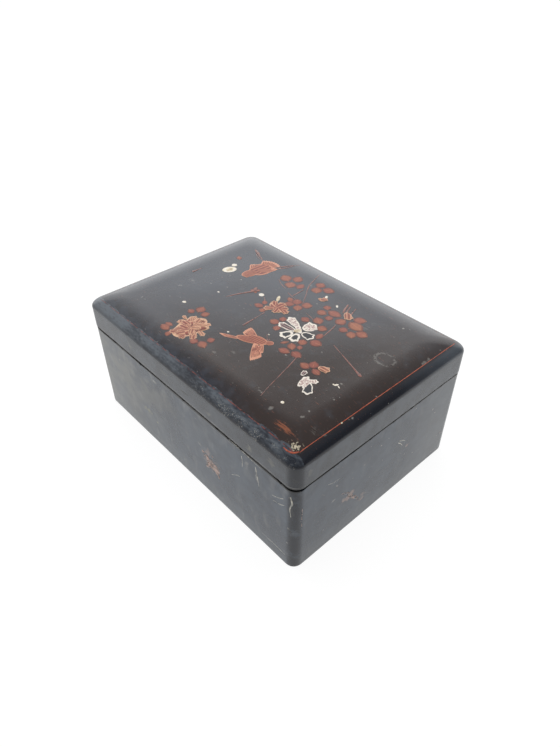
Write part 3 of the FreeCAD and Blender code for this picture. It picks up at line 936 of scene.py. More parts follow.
# %% The tree of plates
inputs = (("Plate", OBJECT), ("Ground", OBJECT), ("Depth", NUMBER), ("Paint", PAINT))
plate_tree, board, given = geometry_tree("lay_plates", *inputs)
shape = board.node("GeometryNodeObjectInfo", {}, {"Object": given.other("Plate")}, "Geometry")
heading = board.node("ShaderNodeCombineXYZ", {}, {2: named(board, "turn")})
size = board.node("ShaderNodeCombineXYZ", {}, {0: named(board, "long"), 1: named(board, "wide"), 2: 1.0})
values = {
    "Points": given,
    "Instance": shape,
    "Rotation": board.node("FunctionNodeEulerToRotation", {}, {0: heading}),
    "Scale": size,
}
copies = board.node("GeometryNodeInstanceOnPoints", {}, values)
copies = board.node("GeometryNodeRealizeInstances", {}, {"Geometry": copies})
depth = given.other("Depth")
laid = drop_on(board, copies, given.other("Ground"), lambda z: z * (named(board, "rise") + depth) - depth)
finish_tree(board, laid, given.other("Paint"))
print(len(plate_tree.nodes), "nodes lay the plates")

# %% The tree of strokes
STROKE_STEP = 1.2
STROKE_SIDES = 6
inputs = (("Ground", OBJECT), ("Flatness", NUMBER), ("Paint", PAINT))
stroke_tree, board, given = geometry_tree("lay_strokes", *inputs)
stroke = tube(board, given, "Length", STROKE_STEP * MM, STROKE_SIDES)
flat = given.other("Flatness")
laid = drop_on(board, stroke, given.other("Ground"), lambda z: z * flat)
finish_tree(board, laid, given.other("Paint"))
print(len(stroke_tree.nodes), "nodes lay the strokes")

# %% Growing seeds into paint


def grow(name, points, edges, tree, numbers, **inputs):
    """Run a tree on seed points in millimetres, and return its result as a plain mesh object."""
    seeds = mesh_object(name + "_seeds", points, [], edges=edges)
    keep_numbers(seeds, numbers)
    modifier = seeds.modifiers.new("grow", "NODES")
    modifier.node_group = tree
    for item in tree.interface.items_tree:
        if item.in_out == "INPUT" and inputs.get(item.name) is not None:
            modifier[item.identifier] = inputs[item.name]
    grown = seeds.evaluated_get(bpy.context.evaluated_depsgraph_get())
    mesh = bpy.data.meshes.new_from_object(grown)
    bpy.data.objects.remove(seeds)
    made = bpy.data.objects.new(name, mesh)
    bpy.context.collection.objects.link(made)
    mesh.shade_smooth()
    return made


print("seeds can grow")

# %% Laying plates and strokes


def lay_plates(name, kind, marks, paint, body="lid", ground=lid_skin):
    """Lay one plate for each mark (x, y, turn in degrees, length, width, rise, tone)."""
    columns = list(zip(*marks))
    numbers = {
        "turn": [math.radians(v) for v in columns[2]],
        "long": [v * MM / 2 for v in columns[3]],
        "wide": [v * MM / 2 for v in columns[4]],
        "rise": [v * MM for v in columns[5]],
        "tone": list(columns[6]),
    }
    points = [(x, y, 0) for x, y in zip(columns[0], columns[1])]
    inputs = {"Plate": plates[kind], "Ground": ground, "Depth": PAINT_DEPTH * MM, "Paint": paint}
    made = grow(name, points, [], plate_tree, numbers, **inputs)
    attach(made, body)
    print(name, len(marks), "plates,", len(made.data.polygons), "faces")


def lay_strokes(name, lines, paint, flatness=0.15, body="lid", ground=lid_skin, face=None):
    """Lay one stroke for each line of (x, y, width) points. face turns the plane onto a wall."""
    points = []
    edges = []
    widths = []
    tones = []
    for number, line in enumerate(lines):
        for n, (x, y, width) in enumerate(line):
            if n:
                edges.append((len(points) - 1, len(points)))
            points.append((x, y, 0))
            widths.append(width * MM / 2)
            tones.append(number % 7 / 6)
    inputs = {"Ground": ground, "Flatness": flatness, "Paint": paint}
    made = grow(name, points, edges, stroke_tree, {"wide": widths, "tone": tones}, **inputs)
    if face:
        made.data.transform(face)
    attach(made, body)
    print(name, len(lines), "strokes,", len(made.data.polygons), "faces")


print("ready to lay plates and strokes")

# %% [markdown]
# ## Paints
#
# Red lacquer has gone brown and the gold over it has worn to its edges. White petals are an outline of
# shell white round a thin pinkish wash. Every paint reads the plate's own attributes: `rim` is 1 at the
# edge and 0 in the middle, `along` runs from root to tip, and `tone` differs from one copy to the next. So
# one material can serve more than fifty leaves, none quite like the next.

# %% Leaf red and shell white
RED_BROWN = rgb(144, 74, 61)
DARK_RED = rgb(84, 36, 30)
OLD_GOLD = rgb(168, 104, 72)
SHELL_WHITE = rgb(240, 232, 220)
PINK_WASH = rgb(176, 142, 138)
RUBBED = rgb(60, 46, 44)
PALE_RIB = rgb(196, 132, 98)
DARK_GAP = rgb(58, 56, 60)
DARK_INSIDE = rgb(48, 50, 55)


def leaf_paint():
    """Red-brown leaf with a darker rim, a fine midrib and rubbed patches."""
    material, board = finish("leaf_paint")
    place = board.place()
    rim, along, across, tone = (board.attribute(name) for name in ("rim", "along", "across", "tone"))
    mottle = board.noise(place, 2.2, 3)
    colour = board.mix(board.band(tone + along * 0.15, 0.0, 1.0), RED_BROWN, OLD_GOLD)
    colour = board.mix(board.band(mottle, 0.5, 0.8) * 0.4, colour, RUBBED)
    colour = board.mix(board.band(rim + (mottle - 0.5) * 0.2, 0.66, 0.86) * 0.75, colour, DARK_RED)
    rib = board.band(board.math("ABSOLUTE", across), 0.09, 0.03) * board.band(mottle, 0.42, 0.52)
    colour = board.mix(rib * 0.6, colour, PALE_RIB)
    surface(board, colour, 0.3 + mottle * 0.2, mottle, 0.02, IOR=1.5)
    return material


def white_paint():
    """Shell white outline. Inside, tone 0 and 0.3 are lacquer, 0.7 is streaked and 1 a pinkish wash."""
    material, board = finish("white_paint")
    place = board.place()
    rim, across, tone = (board.attribute(name) for name in ("rim", "across", "tone"))
    mottle = board.noise(place, 1.3, 3)
    wash = board.mix(board.band(mottle, 0.4, 0.62), PINK_WASH, SHELL_WHITE)
    streaks = board.band(board.math("SINE", across * 11.0 + mottle * 4), -0.2, 0.6)
    streaked = board.mix(streaks, DARK_GAP, PINK_WASH)
    inside = board.mix(board.band(tone, 0.4, 0.55), DARK_INSIDE, streaked)
    inside = board.mix(board.band(tone, 0.8, 0.9), inside, wash)
    thick = board.band(board.math("ABSOLUTE", tone - 0.3), 0.12, 0.05)
    outline = board.band(rim + thick * 0.17 + (mottle - 0.5) * 0.3, 0.72, 0.80)
    colour = board.mix(outline, inside, SHELL_WHITE)
    surface(board, colour, 0.5, mottle, 0.03, IOR=1.5)
    return material


print("leaf and petal paints ready")

# %% Gold, red and plain paints


def gold_paint(name, deep, pale, edge, lines, edge_start=0.82):
    """Warm petal or feather, deep at tone 0 and pale at tone 1, with fine lines along it."""
    material, board = finish(name)
    place = board.place()
    rim, along, across, tone = (board.attribute(key) for key in ("rim", "along", "across", "tone"))
    mottle = board.noise(place, 1.8, 3)
    colour = board.mix(board.band(tone + along * 0.2 + (mottle - 0.5) * 0.8, 0.1, 0.9), deep, pale)
    barbs = board.math("SINE", across * lines + along * 2.0)
    colour = board.mix(board.band(barbs, 0.1, 0.8) * 0.6, colour, DARK_RED)
    colour = board.mix(board.band(barbs, -0.55, -0.95) * 0.7, colour, edge)
    outline = board.band(rim + (mottle - 0.5) * 0.2, edge_start, edge_start + 0.08)
    colour = board.mix(outline * 0.85, colour, edge)
    colour = board.mix(board.band(mottle, 0.6, 0.85) * 0.5, colour, RUBBED)
    surface(board, colour, 0.35 + mottle * 0.15, mottle, 0.02, IOR=1.5)
    return material


def plain_paint(name, colour, worn, gaps=0.0):
    """A stroke of paint, worn towards another colour. Gaps open it to the lacquer."""
    material, board = finish(name)
    place = board.place()
    mottle = board.noise(place, 3.0, 4)
    shade = board.mix(board.band(mottle, 0.4, 0.7), colour, worn)
    fixed = {"IOR": 1.5}
    if gaps:
        fixed["Alpha"] = board.band(board.noise(place, 4.5, 4, 4.4), gaps - 0.08, gaps + 0.08)
    surface(board, shade, 0.3, mottle, 0.01, **fixed)
    return material


leaf_red = leaf_paint()
petal_white = white_paint()
warm = rgb(154, 72, 56), rgb(198, 138, 108), rgb(226, 184, 150)
petal_gold = gold_paint("petal_gold", *warm, 8.0)
warm = rgb(138, 64, 50), rgb(166, 92, 70), rgb(222, 160, 130)
feather_red = gold_paint("feather_red", *warm, 8.0, 0.64)
warm = rgb(146, 72, 56), rgb(172, 98, 74), rgb(206, 142, 112)
breast_red = gold_paint("breast_red", *warm, 17.0)
dot_white = plain_paint("dot_white", SHELL_WHITE, CREAM)
cream_worn = plain_paint("cream_worn", CREAM, rgb(176, 150, 112))
stem_paint = plain_paint("stem_paint", rgb(146, 96, 86), rgb(96, 74, 74), 0.32)
line_paint = plain_paint("line_paint", rgb(190, 94, 66), rgb(150, 70, 54))
faded_paint = plain_paint("faded_paint", rgb(150, 66, 50), rgb(96, 50, 44), 0.48)
scratch_paint = plain_paint("scratch_paint", rgb(226, 222, 208), rgb(160, 160, 154), 0.4)
ghost_paint = plain_paint("ghost_paint", rgb(196, 164, 150), rgb(160, 144, 138), 0.52)
print("paints ready")

# %% [markdown]
# ## Leaves and blossoms on the lid
#
# Sprays of three to five leaves fill the right half of the lid, round a white double blossom, a small gold
# one and a large open one near the front. Scattering them at random would look like a print, so each leaf
# has a place, an angle, a length and a width of its own, and only its tone and its height follow a rule.

# %% Leaves
LEAF_RISE = 0.05
LEAF_GROWTH = 1.07
leaf_marks = []


def spray(*leaves, tone=0.15):
    """Leaves, each given by its place, its angle in degrees, its length and its width."""
    for x, y, angle, long, wide in leaves:
        wobble = 0.5 + 0.5 * math.sin(2.4 * len(leaf_marks))
        rise = LEAF_RISE + 0.004 * (len(leaf_marks) % 5)
        leaf_marks.append((x, y, angle, long * LEAF_GROWTH, wide * LEAF_GROWTH, rise, tone + 0.3 * wobble))


spray((-24.2, 55.4, 110, 9.5, 8.2), (-32.5, 49.2, 160, 11, 9), (-14.2, 48.8, 100, 8.5, 6),
      (-21.7, 44.2, -60, 9.5, 9))
spray((-4.2, 62.9, 100, 8, 8), (6.3, 61.7, 20, 10, 8), (-0.8, 54.6, -50, 9, 8.5))
spray((1.7, 29.6, 130, 8, 7.5), (10.8, 31.7, 40, 8.5, 8), (-4.6, 27.9, 155, 7, 4.5),
      (-0.4, 22.9, 30, 7.5, 6.5))
spray((8.3, 23.8, -50, 8, 7), (23.8, 41.7, -40, 6.5, 6), (33.8, 39.6, 4, 12, 7.6), (25.8, 33.3, 10, 8, 7))
spray((35.0, 31.7, -50, 6.5, 6), (44.6, 35.0, 80, 9, 8), (53.3, 47.5, 35, 10, 8), (53.3, 28.3, 15, 7, 6.4))
spray((56.7, 38.8, -8, 14, 9.5), (66.7, 34.2, 10, 9.5, 8), (61.7, 27.9, -45, 8.5, 7), tone=0.4)
spray((32.1, 22.9, -30, 9, 7.5), (24.2, 16.7, 0, 7.5, 6), (41.3, 17.5, 20, 8, 7), (47.1, 8.8, 100, 7.5, 5))
spray((51.3, 0.8, 10, 9.5, 7.6), (43.8, -5.8, -60, 7, 6.5), (12.1, 4.2, 130, 6, 5.5),
      (10.0, -2.9, 190, 8, 6.5))
spray((17.5, -7.5, -60, 6.5, 5.5), (47.1, -11.7, -50, 5, 4), (42.1, -15.0, -40, 8, 6),
      (51.3, -19.2, 0, 9, 6.4))
spray((42.1, -22.5, 15, 9, 6), (35.0, -15.4, 60, 6.5, 2.8), (67.9, -18.2, 120, 7.4, 7),
      (64.2, -23.4, 180, 8, 6))
spray((74.5, -22.5, -10, 7.5, 5.2), (-15.4, 3.3, 190, 8, 5.5), (-8.3, 0.8, -60, 5.5, 5),
      (-15.4, 9.6, 140, 6, 4))
spray((-42.2, -34.5, 110, 8, 7.5), (-34.4, -36.0, 60, 7, 6), (-45.8, -41.3, 180, 6.5, 5),
      (-42.2, -68.3, 0, 9.5, 6))
spray((-36.2, 17.6, 135, 4, 2.8), (-32.8, 17.4, 60, 4, 2.8), (-32.8, 14.6, -20, 4, 2.4),
      (-35.8, 14.4, 200, 4, 2.8))
spray((-43.2, -64.0, 10, 7, 4), (-33.9, -71.5, -60, 5.5, 4.5), (-4.7, -53.2, 70, 6, 5.5),
      (-4.7, -61.0, -15, 9, 6.4))
spray((-12.5, -63.1, 200, 7, 6), (-87.5, 42.5, 150, 6.5, 4.5))
lay_plates("lid_leaves", "leaf", leaf_marks, leaf_red)

# %% [markdown]
# ## Blossoms
#
# A blossom is a heap of petals, and in lacquer each petal lies a little over the one before. The white ones
# are placed one by one. The large gold one has too many to place by hand, so its petals follow the rule by
# which a real flower head packs itself: each turns by the golden angle and stands a little farther out.

# %% White blossoms
PETAL_RISE = 0.06
RISE_STEP = 0.005


def layered(petals):
    """Petals (x, y, angle, length, width, tone), each laid a little higher than the one before."""
    marks = []
    for number, (x, y, angle, long, wide, tone) in enumerate(petals):
        marks.append((x, y, angle, long, wide, PETAL_RISE + RISE_STEP * number, tone))
    return marks


white_petals = [
    (22.0, -0.6, 186, 17, 7.5, 0.7),
    (21.0, 7.4, 164, 15, 8.5, 1.0),
    (33.9, 11.6, 80, 11.5, 13.0, 1.0),
    (40.3, 2.9, 5, 10.5, 9.5, 0.0),
    (28.4, -7.2, 254, 10.5, 9.5, 0.3),
    (35.7, -5.4, 292, 10.5, 9.0, 0.3),
    (30.5, 3.6, 150, 10, 5.0, 1.0),
]
white_petals += [
    (75.6, -36.0, 100, 12.0, 6.0, 1.0),
    (79.4, -31.6, 40, 8.5, 5.0, 1.0),
    (82.6, -38.4, 308, 12.0, 8.0, 0.0),
    (79.2, -36.5, 280, 8.5, 4.0, 1.0),
    (69.6, -29.6, 100, 5.6, 4.6, 0.7),
]
lay_plates("lid_white_petals", "petal", layered(white_petals), petal_white)

# %% Gold blossoms
HEAD_X, HEAD_Y = -28.5, -55.5
HEAD_PETALS = 30
GOLDEN_ANGLE = 137.5

gold_petals = [(HEAD_X, HEAD_Y, 90, 29, 25, 0.0)]
for n in range(HEAD_PETALS, 0, -1):
    angle = GOLDEN_ANGLE * n + 22 * math.sin(1.7 * n)
    reach = 2.2 * math.sqrt(n) * (1 + 0.08 * math.sin(2.9 * n))
    px = HEAD_X + reach * 0.95 * math.cos(math.radians(angle))
    py = HEAD_Y + reach * 1.15 * math.sin(math.radians(angle))
    tone = 0.35 + 0.05 * (py - HEAD_Y) + 0.03 * (px - HEAD_X) + 0.25 * math.sin(2.6 * n)
    long = 7.5 + 1.5 * math.sin(3.7 * n)
    wide = 5.2 + 1.6 * math.sin(5.1 * n)
    gold_petals.append((px, py, angle + 25 * math.sin(2.3 * n), long, wide, tone))
gold_petals += [
    (-42.0, -50.0, 172, 6, 3.4, 1.0),
    (-3.0, 12.4, 0, 17, 11, 0.0),
    (-8.6, 14.6, 150, 7.5, 6.5, -0.2),
    (-3.2, 16.4, 95, 8.0, 8.0, -0.1),
    (2.0, 14.4, 45, 7.0, 7.0, -0.2),
    (5.4, 12.2, 0, 6.5, 6.5, 0.3),
    (-6.8, 7.2, 232, 9.0, 7.0, 0.2),
    (-1.0, 8.6, 300, 7.5, 6.0, -0.1),
    (-3.4, 11.8, 90, 5.5, 5.5, 0.1),
    (42.9, 45.0, -35, 10.5, 8.0, 0.3),
    (76.0, -16.4, 20, 8.5, 7.2, 0.5),
    (13.6, 48.2, 80, 6.5, 6.2, 0.1),
    (11.2, 46.4, 140, 4.0, 3.0, 0.9),
]
lay_plates("lid_gold_petals", "petal", layered(gold_petals), petal_gold)

# %% [markdown]
# ## Birds
#
# One small bird sits at the back left and one flies below the blossoms. Both are a body and a head of a
# broad plate, with fans of long feathers for wings and tail. Each feather is a plate of its own, so that
# wings end in a ragged edge.

# %% Birds
BODY_RISE = 0.09
feather_marks = []
body_marks = []


def fan(x, y, angle, spread, count, length, width, shorten, tone):
    """Feathers that open from one root, the last shorter than the first by a share of its length."""
    for n in range(count):
        share = n / (count - 1)
        heading = angle + spread * (share - 0.5)
        long = length * (1 - shorten * share)
        px = x + long / 2 * math.cos(math.radians(heading))
        py = y + long / 2 * math.sin(math.radians(heading))
        rise = LEAF_RISE + 0.004 * (len(feather_marks) % 9)
        feather_marks.append((px, py, heading, long, width, rise, tone + 0.3 * math.sin(2.1 * n)))


def body(x, y, angle, length, width, tone):
    """A broad plate for a breast, a back or a head, each above the one before."""
    body_marks.append((x, y, angle, length, width, BODY_RISE + RISE_STEP * len(body_marks), tone))


# The bird that sits: broad back and wing, a hooked head below, a pale tail up to the right.
fan(-59.0, 46.0, 98, 70, 8, 16, 4.6, 0.15, 0.6)
fan(-52.5, 40.0, 90, 26, 5, 15, 3.6, 0.2, 0.7)
fan(-63.0, 38.0, 118, 60, 5, 10, 4.4, 0.1, 0.6)
body(-58.2, 43.0, 92, 23, 19, 0.3)
body(-55.5, 43.5, 60, 13, 10, 0.6)
body(-59.3, 31.5, 262, 16, 11, 0.4)
body(-57.8, 27.2, 300, 7, 5, 0.3)

# The bird in flight: two wings from the shoulders, a slim tail, a small head with a fine beak.
fan(9.0, -36.0, 207, 7, 3, 18, 2.1, 0.25, 0.5)
fan(19.0, -29.0, 168, 26, 6, 17, 4.0, 0.12, 0.4)
fan(20.5, -31.5, 321, 22, 7, 21, 3.0, 0.15, 0.7)
fan(25.0, -28.5, 306, 24, 5, 14, 2.0, 0.2, 0.9)
body(14.0, -32.3, 203, 21, 7.6, 0.3)
body(18.5, -28.5, 15, 19, 9.5, 0.4)
body(28.2, -24.2, 40, 6.5, 5.2, 0.5)
lay_plates("lid_bird_feathers", "feather", feather_marks, feather_red)
lay_plates("lid_bird_bodies", "drop", body_marks, breast_red)

# %% [markdown]
# ## Dots and stems
#
# Small drops of white stand for buds and dew, and thin stems tie the sprays together. A stem swells and
# thins as the brush was pressed, so each point of its line has a width, and the tree of strokes does the
# rest. A curve object with a round bevel would stand up from the lacquer like wire.

# %% Dots and drops
dot_marks = [
    (-76.7, 22.5, 60, 12.6, 9.8, 0.10, 0.5),
    (-80.0, 30.8, 0, 5.0, 4.6, 0.10, 0.5),
    (-60.5, -37.5, 20, 3.6, 2.6, 0.10, 0.5),
    (-3.8, -37.5, 0, 1.8, 1.5, 0.10, 0.5),
    (-53.3, -8.0, 0, 2.0, 1.6, 0.08, 0.5),
    (-25.8, 15.3, 0, 4.8, 4.3, 0.10, 0.5),
    (27.5, 49.2, -45, 3.6, 1.8, 0.10, 0.5),
    (12.0, 53.0, -60, 4.0, 2.2, 0.10, 0.5),
    (81.0, -60.3, 0, 2.6, 2.4, 0.10, 0.5),
    (93.0, -21.8, 60, 3.2, 1.6, 0.10, 0.5),
    (91.4, -22.8, 0, 1.8, 1.2, 0.10, 0.5),
    (95.6, -22.2, -20, 2.6, 0.9, 0.10, 0.5),
    (20.0, -17.5, 0, 1.4, 1.2, 0.10, 0.5),
]
lay_plates("lid_dots", "drop", dot_marks, dot_white)
cream_marks = [(30.9, 1.9, 60, 6.0, 4.6, 0.11, 0.5), (-76.7, 22.5, 60, 8.4, 5.8, 0.115, 0.5)]
cream_marks += [(-12.2, 21.6, 125, 8.5, 2.8, 0.08, 0.5), (118.2, -43.5, 90, 1.6, 1.0, 0.12, 0.5)]
lay_plates("lid_cream_dots", "drop", cream_marks, cream_worn)

# %% Stems
stems = [
    [(-90, 64, 0.9), (-84, 61.5, 3.0), (-76, 58, 1.5), (-66, 54, 0.8)],
    [(-84, 59.5, 0.4), (-78, 56.5, 0.7), (-72, 54.5, 0.4)],
    [(-37.5, 20.5, 1.2), (-34.5, 16, 2.6), (-31, 17.5, 1.2)],
    [(-96.3, -3.3, 3.0), (-96, 2, 1.4), (-95.8, 7, 0.6)],
    [(-34.5, 15.5, 4.4), (-35.2, 12.5, 2.4), (-40, 2, 1.7), (-43.5, -8, 0.7)],
    [(-37.0, 19, 0.7), (-34.8, 16, 1.0)],
    [(-31.5, 13, 0.7), (-34.2, 15, 1.0)],
    [(-18.3, 76, 0.6), (-14, 65, 0.9), (-9.5, 54, 1.1), (2, 38, 0.7), (7, 30, 0.5)],
    [(-8.8, 47, 1.0), (-8.0, 40, 1.4), (-7.6, 33.5, 0.8)],
    [(-4.7, 0, 0.9), (-3.5, -12, 1.1), (-2.5, -24.2, 2.0)],
    [(45, 29, 1.0), (47, 22, 1.1), (49, 11, 0.6)],
    [(53.5, -20.5, 1.0), (57, -32, 0.8), (63, -55, 0.6), (66.7, -67, 0.5)],
    [(-14, 34, 0.5), (-6, 32, 0.8), (1, 31, 0.5)],
    [(-35, 43, 0.5), (-28, 39.5, 0.8), (-20, 37, 0.5)],
    [(-22, 15, 0.5), (-18, 12, 0.9), (-14, 9, 0.6)],
    [(18, 23.5, 0.4), (25, 22, 0.6), (30, 20.5, 0.4)],
    [(61.7, 8.8, 0.6), (80, 3, 0.9), (92, -0.8, 1.4), (97.6, -2.8, 2.6), (98.6, -3.2, 0.9)],
    [(95.5, -0.6, 0.5), (98.2, -2.4, 0.9)],
    [(31.7, 58, 1.5), (35, 50, 2.0), (37, 46, 1.0)],
    [(35, 57, 0.9), (38, 50, 1.3), (40.5, 45, 0.9)],
    [(40, 58, 0.8), (41.5, 53, 1.2), (43.5, 48, 0.8)],
    [(18.8, -18.3, 0.5), (22.5, -21.5, 0.7), (24.6, -23.2, 1.0)],
    [(24.6, -20.5, 0.5), (25.0, -23.0, 0.9)],
    [(51.3, 24.5, 0.5), (55, 33, 0.6), (50, 41, 0.5)],
    [(-52, 55, 2.0), (-47, 65, 1.4), (-42, 75, 0.6)],
    [(-49, 54, 1.2), (-45, 63, 1.2), (-43, 71, 0.5)],
]
lay_strokes("lid_stems", stems, stem_paint)

# %% [markdown]
# ## Border line
#
# A line of orange-red runs round the top where the shoulder starts to fall. It is crisp along the right
# side, broken along the front, faint at the back and left, and curls off at the front corner.

# %% Border line
LINE_INSET = 7.3
LINE_CORNER = 3.6
LINE_FLATNESS = 0.2
CRISP_WIDTH = 0.54
FADED_WIDTH = 0.42
line_x = lid_half_length - LINE_INSET
line_y = lid_half_width - LINE_INSET


def border_points(crisp):
    """The crisp part of the line along the right side, or else the rest of the ring."""
    points = []
    for x, y in ring(line_x, line_y, LINE_CORNER)[::2]:
        if (x > line_x - 1 and y > 2 - line_y) == crisp:
            width = CRISP_WIDTH if crisp else FADED_WIDTH
            points.append((x, y, width * (1 + 0.25 * ripple(x, y, 0, 6, 1.0))))
    return points


crisp_line = sorted(border_points(True), key=lambda point: point[1])
rest = sorted(border_points(False), key=lambda point: math.atan2(point[1], point[0]) % math.tau)
curl = [(117.4, -80.5, 0.7), (115.5, -83.5, 1.2), (112.0, -84.8, 1.0), (108.0, -84.6, 0.5)]
lay_strokes("lid_border_line", [crisp_line, curl], line_paint, LINE_FLATNESS)
lay_strokes("lid_faded_line", [rest], faded_paint, LINE_FLATNESS)

# %% [markdown]
# ## Marks on the walls
#
# Scratches, and the ghosts of old painting, lie on the front and right walls. Painted into the lacquer's
# noise they would blur, so they are strokes too. A stroke is laid on a copy of the walls that
# is turned until the wall faces up, and then turned back with it, so that it follows the round corner.

# %% Walls laid flat
to_front = Matrix.Rotation(math.radians(90), 4, "X")
to_right = Matrix(((0, 0, 1, 0), (1, 0, 0, 0), (0, 1, 0, 0), (0, 0, 0, 1)))


def lying(skin_object, face):
    """A hidden copy of the skin, turned so that the wall of that face looks up."""
    mesh = skin_object.data.copy()
    mesh.transform(face.inverted())
    made = bpy.data.objects.new(skin_object.name + "_lying", mesh)
    bpy.context.collection.objects.link(made)
    made.hide_render = True
    return made


base_front = lying(base_skin, to_front)
base_right = lying(base_skin, to_right)
print("walls laid flat")

# %% Marks on the front wall
SCRATCH_FLATNESS = 0.1
GHOST_FLATNESS = 0.02
scratches = [
    [(72.8, 78, 0.9), (73.2, 72, 0.5), (72.6, 67, 0.3)],
    [(87, 79, 0.7), (88.4, 71, 1.1), (90, 61.7, 0.3)],
    [(103, 65, 0.3), (109, 67.5, 0.6), (114, 71, 0.3)],
    [(104, 60.5, 0.3), (110, 62, 0.5), (115, 65, 0.3)],
    [(120, 78, 0.6), (121, 71, 1.2), (119.6, 65, 0.7), (120.6, 57, 0.5)],
    [(60, 48, 0.3), (66, 52.5, 0.4), (72, 55, 0.3)],
    [(119, 46, 0.4), (119.7, 42, 0.8)],
    [(60, 84.0, 0.3), (76, 83.3, 0.5), (93, 81.9, 0.3)],
    [(100, 12, 0.2), (110, 11.4, 0.4), (116, 11, 0.2)],
]
lay_strokes("front_scratches", scratches, scratch_paint, SCRATCH_FLATNESS, "base", base_front, to_front)
star_x, star_z = 35, 37.5
star = []
for a, b in ((6, 3), (1, 6), (-6, 4), (-4, -4), (5, -5), (8, -1)):
    star.append([(star_x, star_z, 2), (star_x + a, star_z + b, 6), (star_x + 1.9 * a, star_z + 1.9 * b, 1)])
lay_strokes("front_ghosts", star, ghost_paint, GHOST_FLATNESS, "base", base_front, to_front)

# %% Marks on the right wall
side_scratches = [
    [(16.7, 55, 0.5), (20, 52, 1.0), (23, 48, 0.4)],
    [(18, 56, 0.3), (22, 54, 0.6), (26, 51, 0.3)],
    [(-60, 70, 0.2), (-55, 68, 0.4), (-48, 67, 0.2)],
]
lay_strokes("side_scratches", side_scratches, scratch_paint, SCRATCH_FLATNESS, "base", base_right, to_right)
side_ghosts = []
for n in range(3):
    a, b = 4 * n, -5 * n
    side_ghosts.append([(-44 + a, 47 + b, 1.2), (-37 + a, 41 + b, 3.2), (-31 + a, 33 + b, 0.8)])
side_ghosts.append([(76, 24, 0.5), (80, 23, 1.4), (84, 21.5, 0.5)])
side_ghosts.append([(-83, 65, 0.4), (-83.4, 55, 0.6), (-83, 45, 0.3)])
lay_strokes("side_ghosts", side_ghosts, ghost_paint, GHOST_FLATNESS, "base", base_right, to_right)

# %% [markdown]
# ## Boards inside
#
# The lacquer inside was never in the light, so it is still black with a touch of brown, and glossy. Lacquer
# never lies sharp over an edge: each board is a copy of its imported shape, with the flat faces made whole
# again and every edge eased by a fine bevel that catches the light.

# %% Coated boards
EDGE_EASE = 0.3
MERGE_DISTANCE = 0.002
FLAT_ANGLE = math.radians(1)
BEVEL_ANGLE = math.radians(35)
CREASE_ANGLE = math.radians(25)
bodies = frame["record"]["behaviour"]["bodies"]
body_of_node = {node: body for body, members in bodies.items() for node in members}


def coat(node, material, ease=EDGE_EASE):
    """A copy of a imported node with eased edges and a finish. With no ease its shape stays as it is."""
    mesh = nodes[node].data.copy()
    if ease:
        shape = bmesh.new()
        shape.from_mesh(mesh)
        bmesh.ops.remove_doubles(shape, verts=shape.verts, dist=MERGE_DISTANCE * MM)
        bmesh.ops.dissolve_limit(shape, angle_limit=FLAT_ANGLE, verts=shape.verts, edges=shape.edges)
        shape.to_mesh(mesh)
        shape.free()
    mesh.materials.clear()
    mesh.materials.append(material)
    made = bpy.data.objects.new(node + "_coat", mesh)
    bpy.context.collection.objects.link(made)
    if ease:
        bevel = made.modifiers.new("ease", "BEVEL")
        bevel.width = ease * MM
        bevel.segments = 2
        bevel.angle_limit = BEVEL_ANGLE
        eased_shape = made.evaluated_get(bpy.context.evaluated_depsgraph_get())
        made.data = bpy.data.meshes.new_from_object(eased_shape)
        made.modifiers.clear()
        made.data.shade_smooth()
        made.data.set_sharp_from_angle(angle=CREASE_ANGLE)
    else:
        made.data.shade_flat()
    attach(made, body_of_node[node])
    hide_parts(node)


# %% Lacquer inside
SOOT_BROWN = rgb(22, 17, 16)
WARM_BROWN = rgb(42, 27, 22)
SCRATCH_GREY = rgb(92, 80, 72)
DUST = rgb(120, 112, 104)


def inner_lacquer():
    """Glossy black lacquer with slow brown clouds and fine scratches along the boards."""
    material, board = finish("inner_lacquer")
    place = board.place()
    cloud, mottle, grain = clouds(board, place)
    colour = board.mix(board.band(cloud, 0.35, 0.7), SOOT_BROWN, WARM_BROWN)
    scratch = board.noise(place, 0.5, 2, 4.0, (40, 1, 1))
    colour = board.mix(board.band(scratch, 0.62, 0.75) * 0.25, colour, SCRATCH_GREY)
    dust = board.band(board.noise(place, 1.1, 2, 9.0), 0.66, 0.74) * 0.35
    colour = board.mix(dust, colour, DUST)
    surface(board, colour, 0.16 + mottle * 0.12, mottle * 0.6 + grain * 0.15, 0.04, IOR=1.52)
    return material


lacquer_inside = inner_lacquer()
ends = ("front", "back", "left", "right")
inner_boards = ["liner_" + end for end in ends] + ["tray_" + end + "_wall" for end in ends]
inner_boards += ["tray_ledges", "tray_floor", "tray_divider", "fitted_board", "brush_rests"]
for node in inner_boards:
    coat(node, lacquer_inside, 0.0 if node == "fitted_board" else EDGE_EASE)
coat("base_floor", base_skin.data.materials[0])

lid_skin.data.materials.append(lacquer_inside)
ceiling = lid_underside + dish_depth + 0.3
hollow_x = lid_half_length - lid_wall + 0.5
hollow_y = lid_half_width - lid_wall + 0.5
for face in lid_skin.data.polygons:
    x, y, z = face.center / MM
    if z < ceiling and abs(x) < hollow_x and abs(y) < hollow_y:
        face.material_index = 1
print(len(inner_boards), "boards coated inside")

# %% [markdown]
# ## Inkstone, water dropper and ink stick
#
# The stone is slate: blue-grey, dull, with fine silver grains, and stained black where ink stood in its
# well. The dropper is a copper flask with a brown patina, rubbed bright on its top. The ink stick is
# pressed soot and glue, almost black, with gold dust left in its sunk panel.

# %% Slate
WELL_START, WELL_FULL = 55, 70
STONE_EASE = 0.4


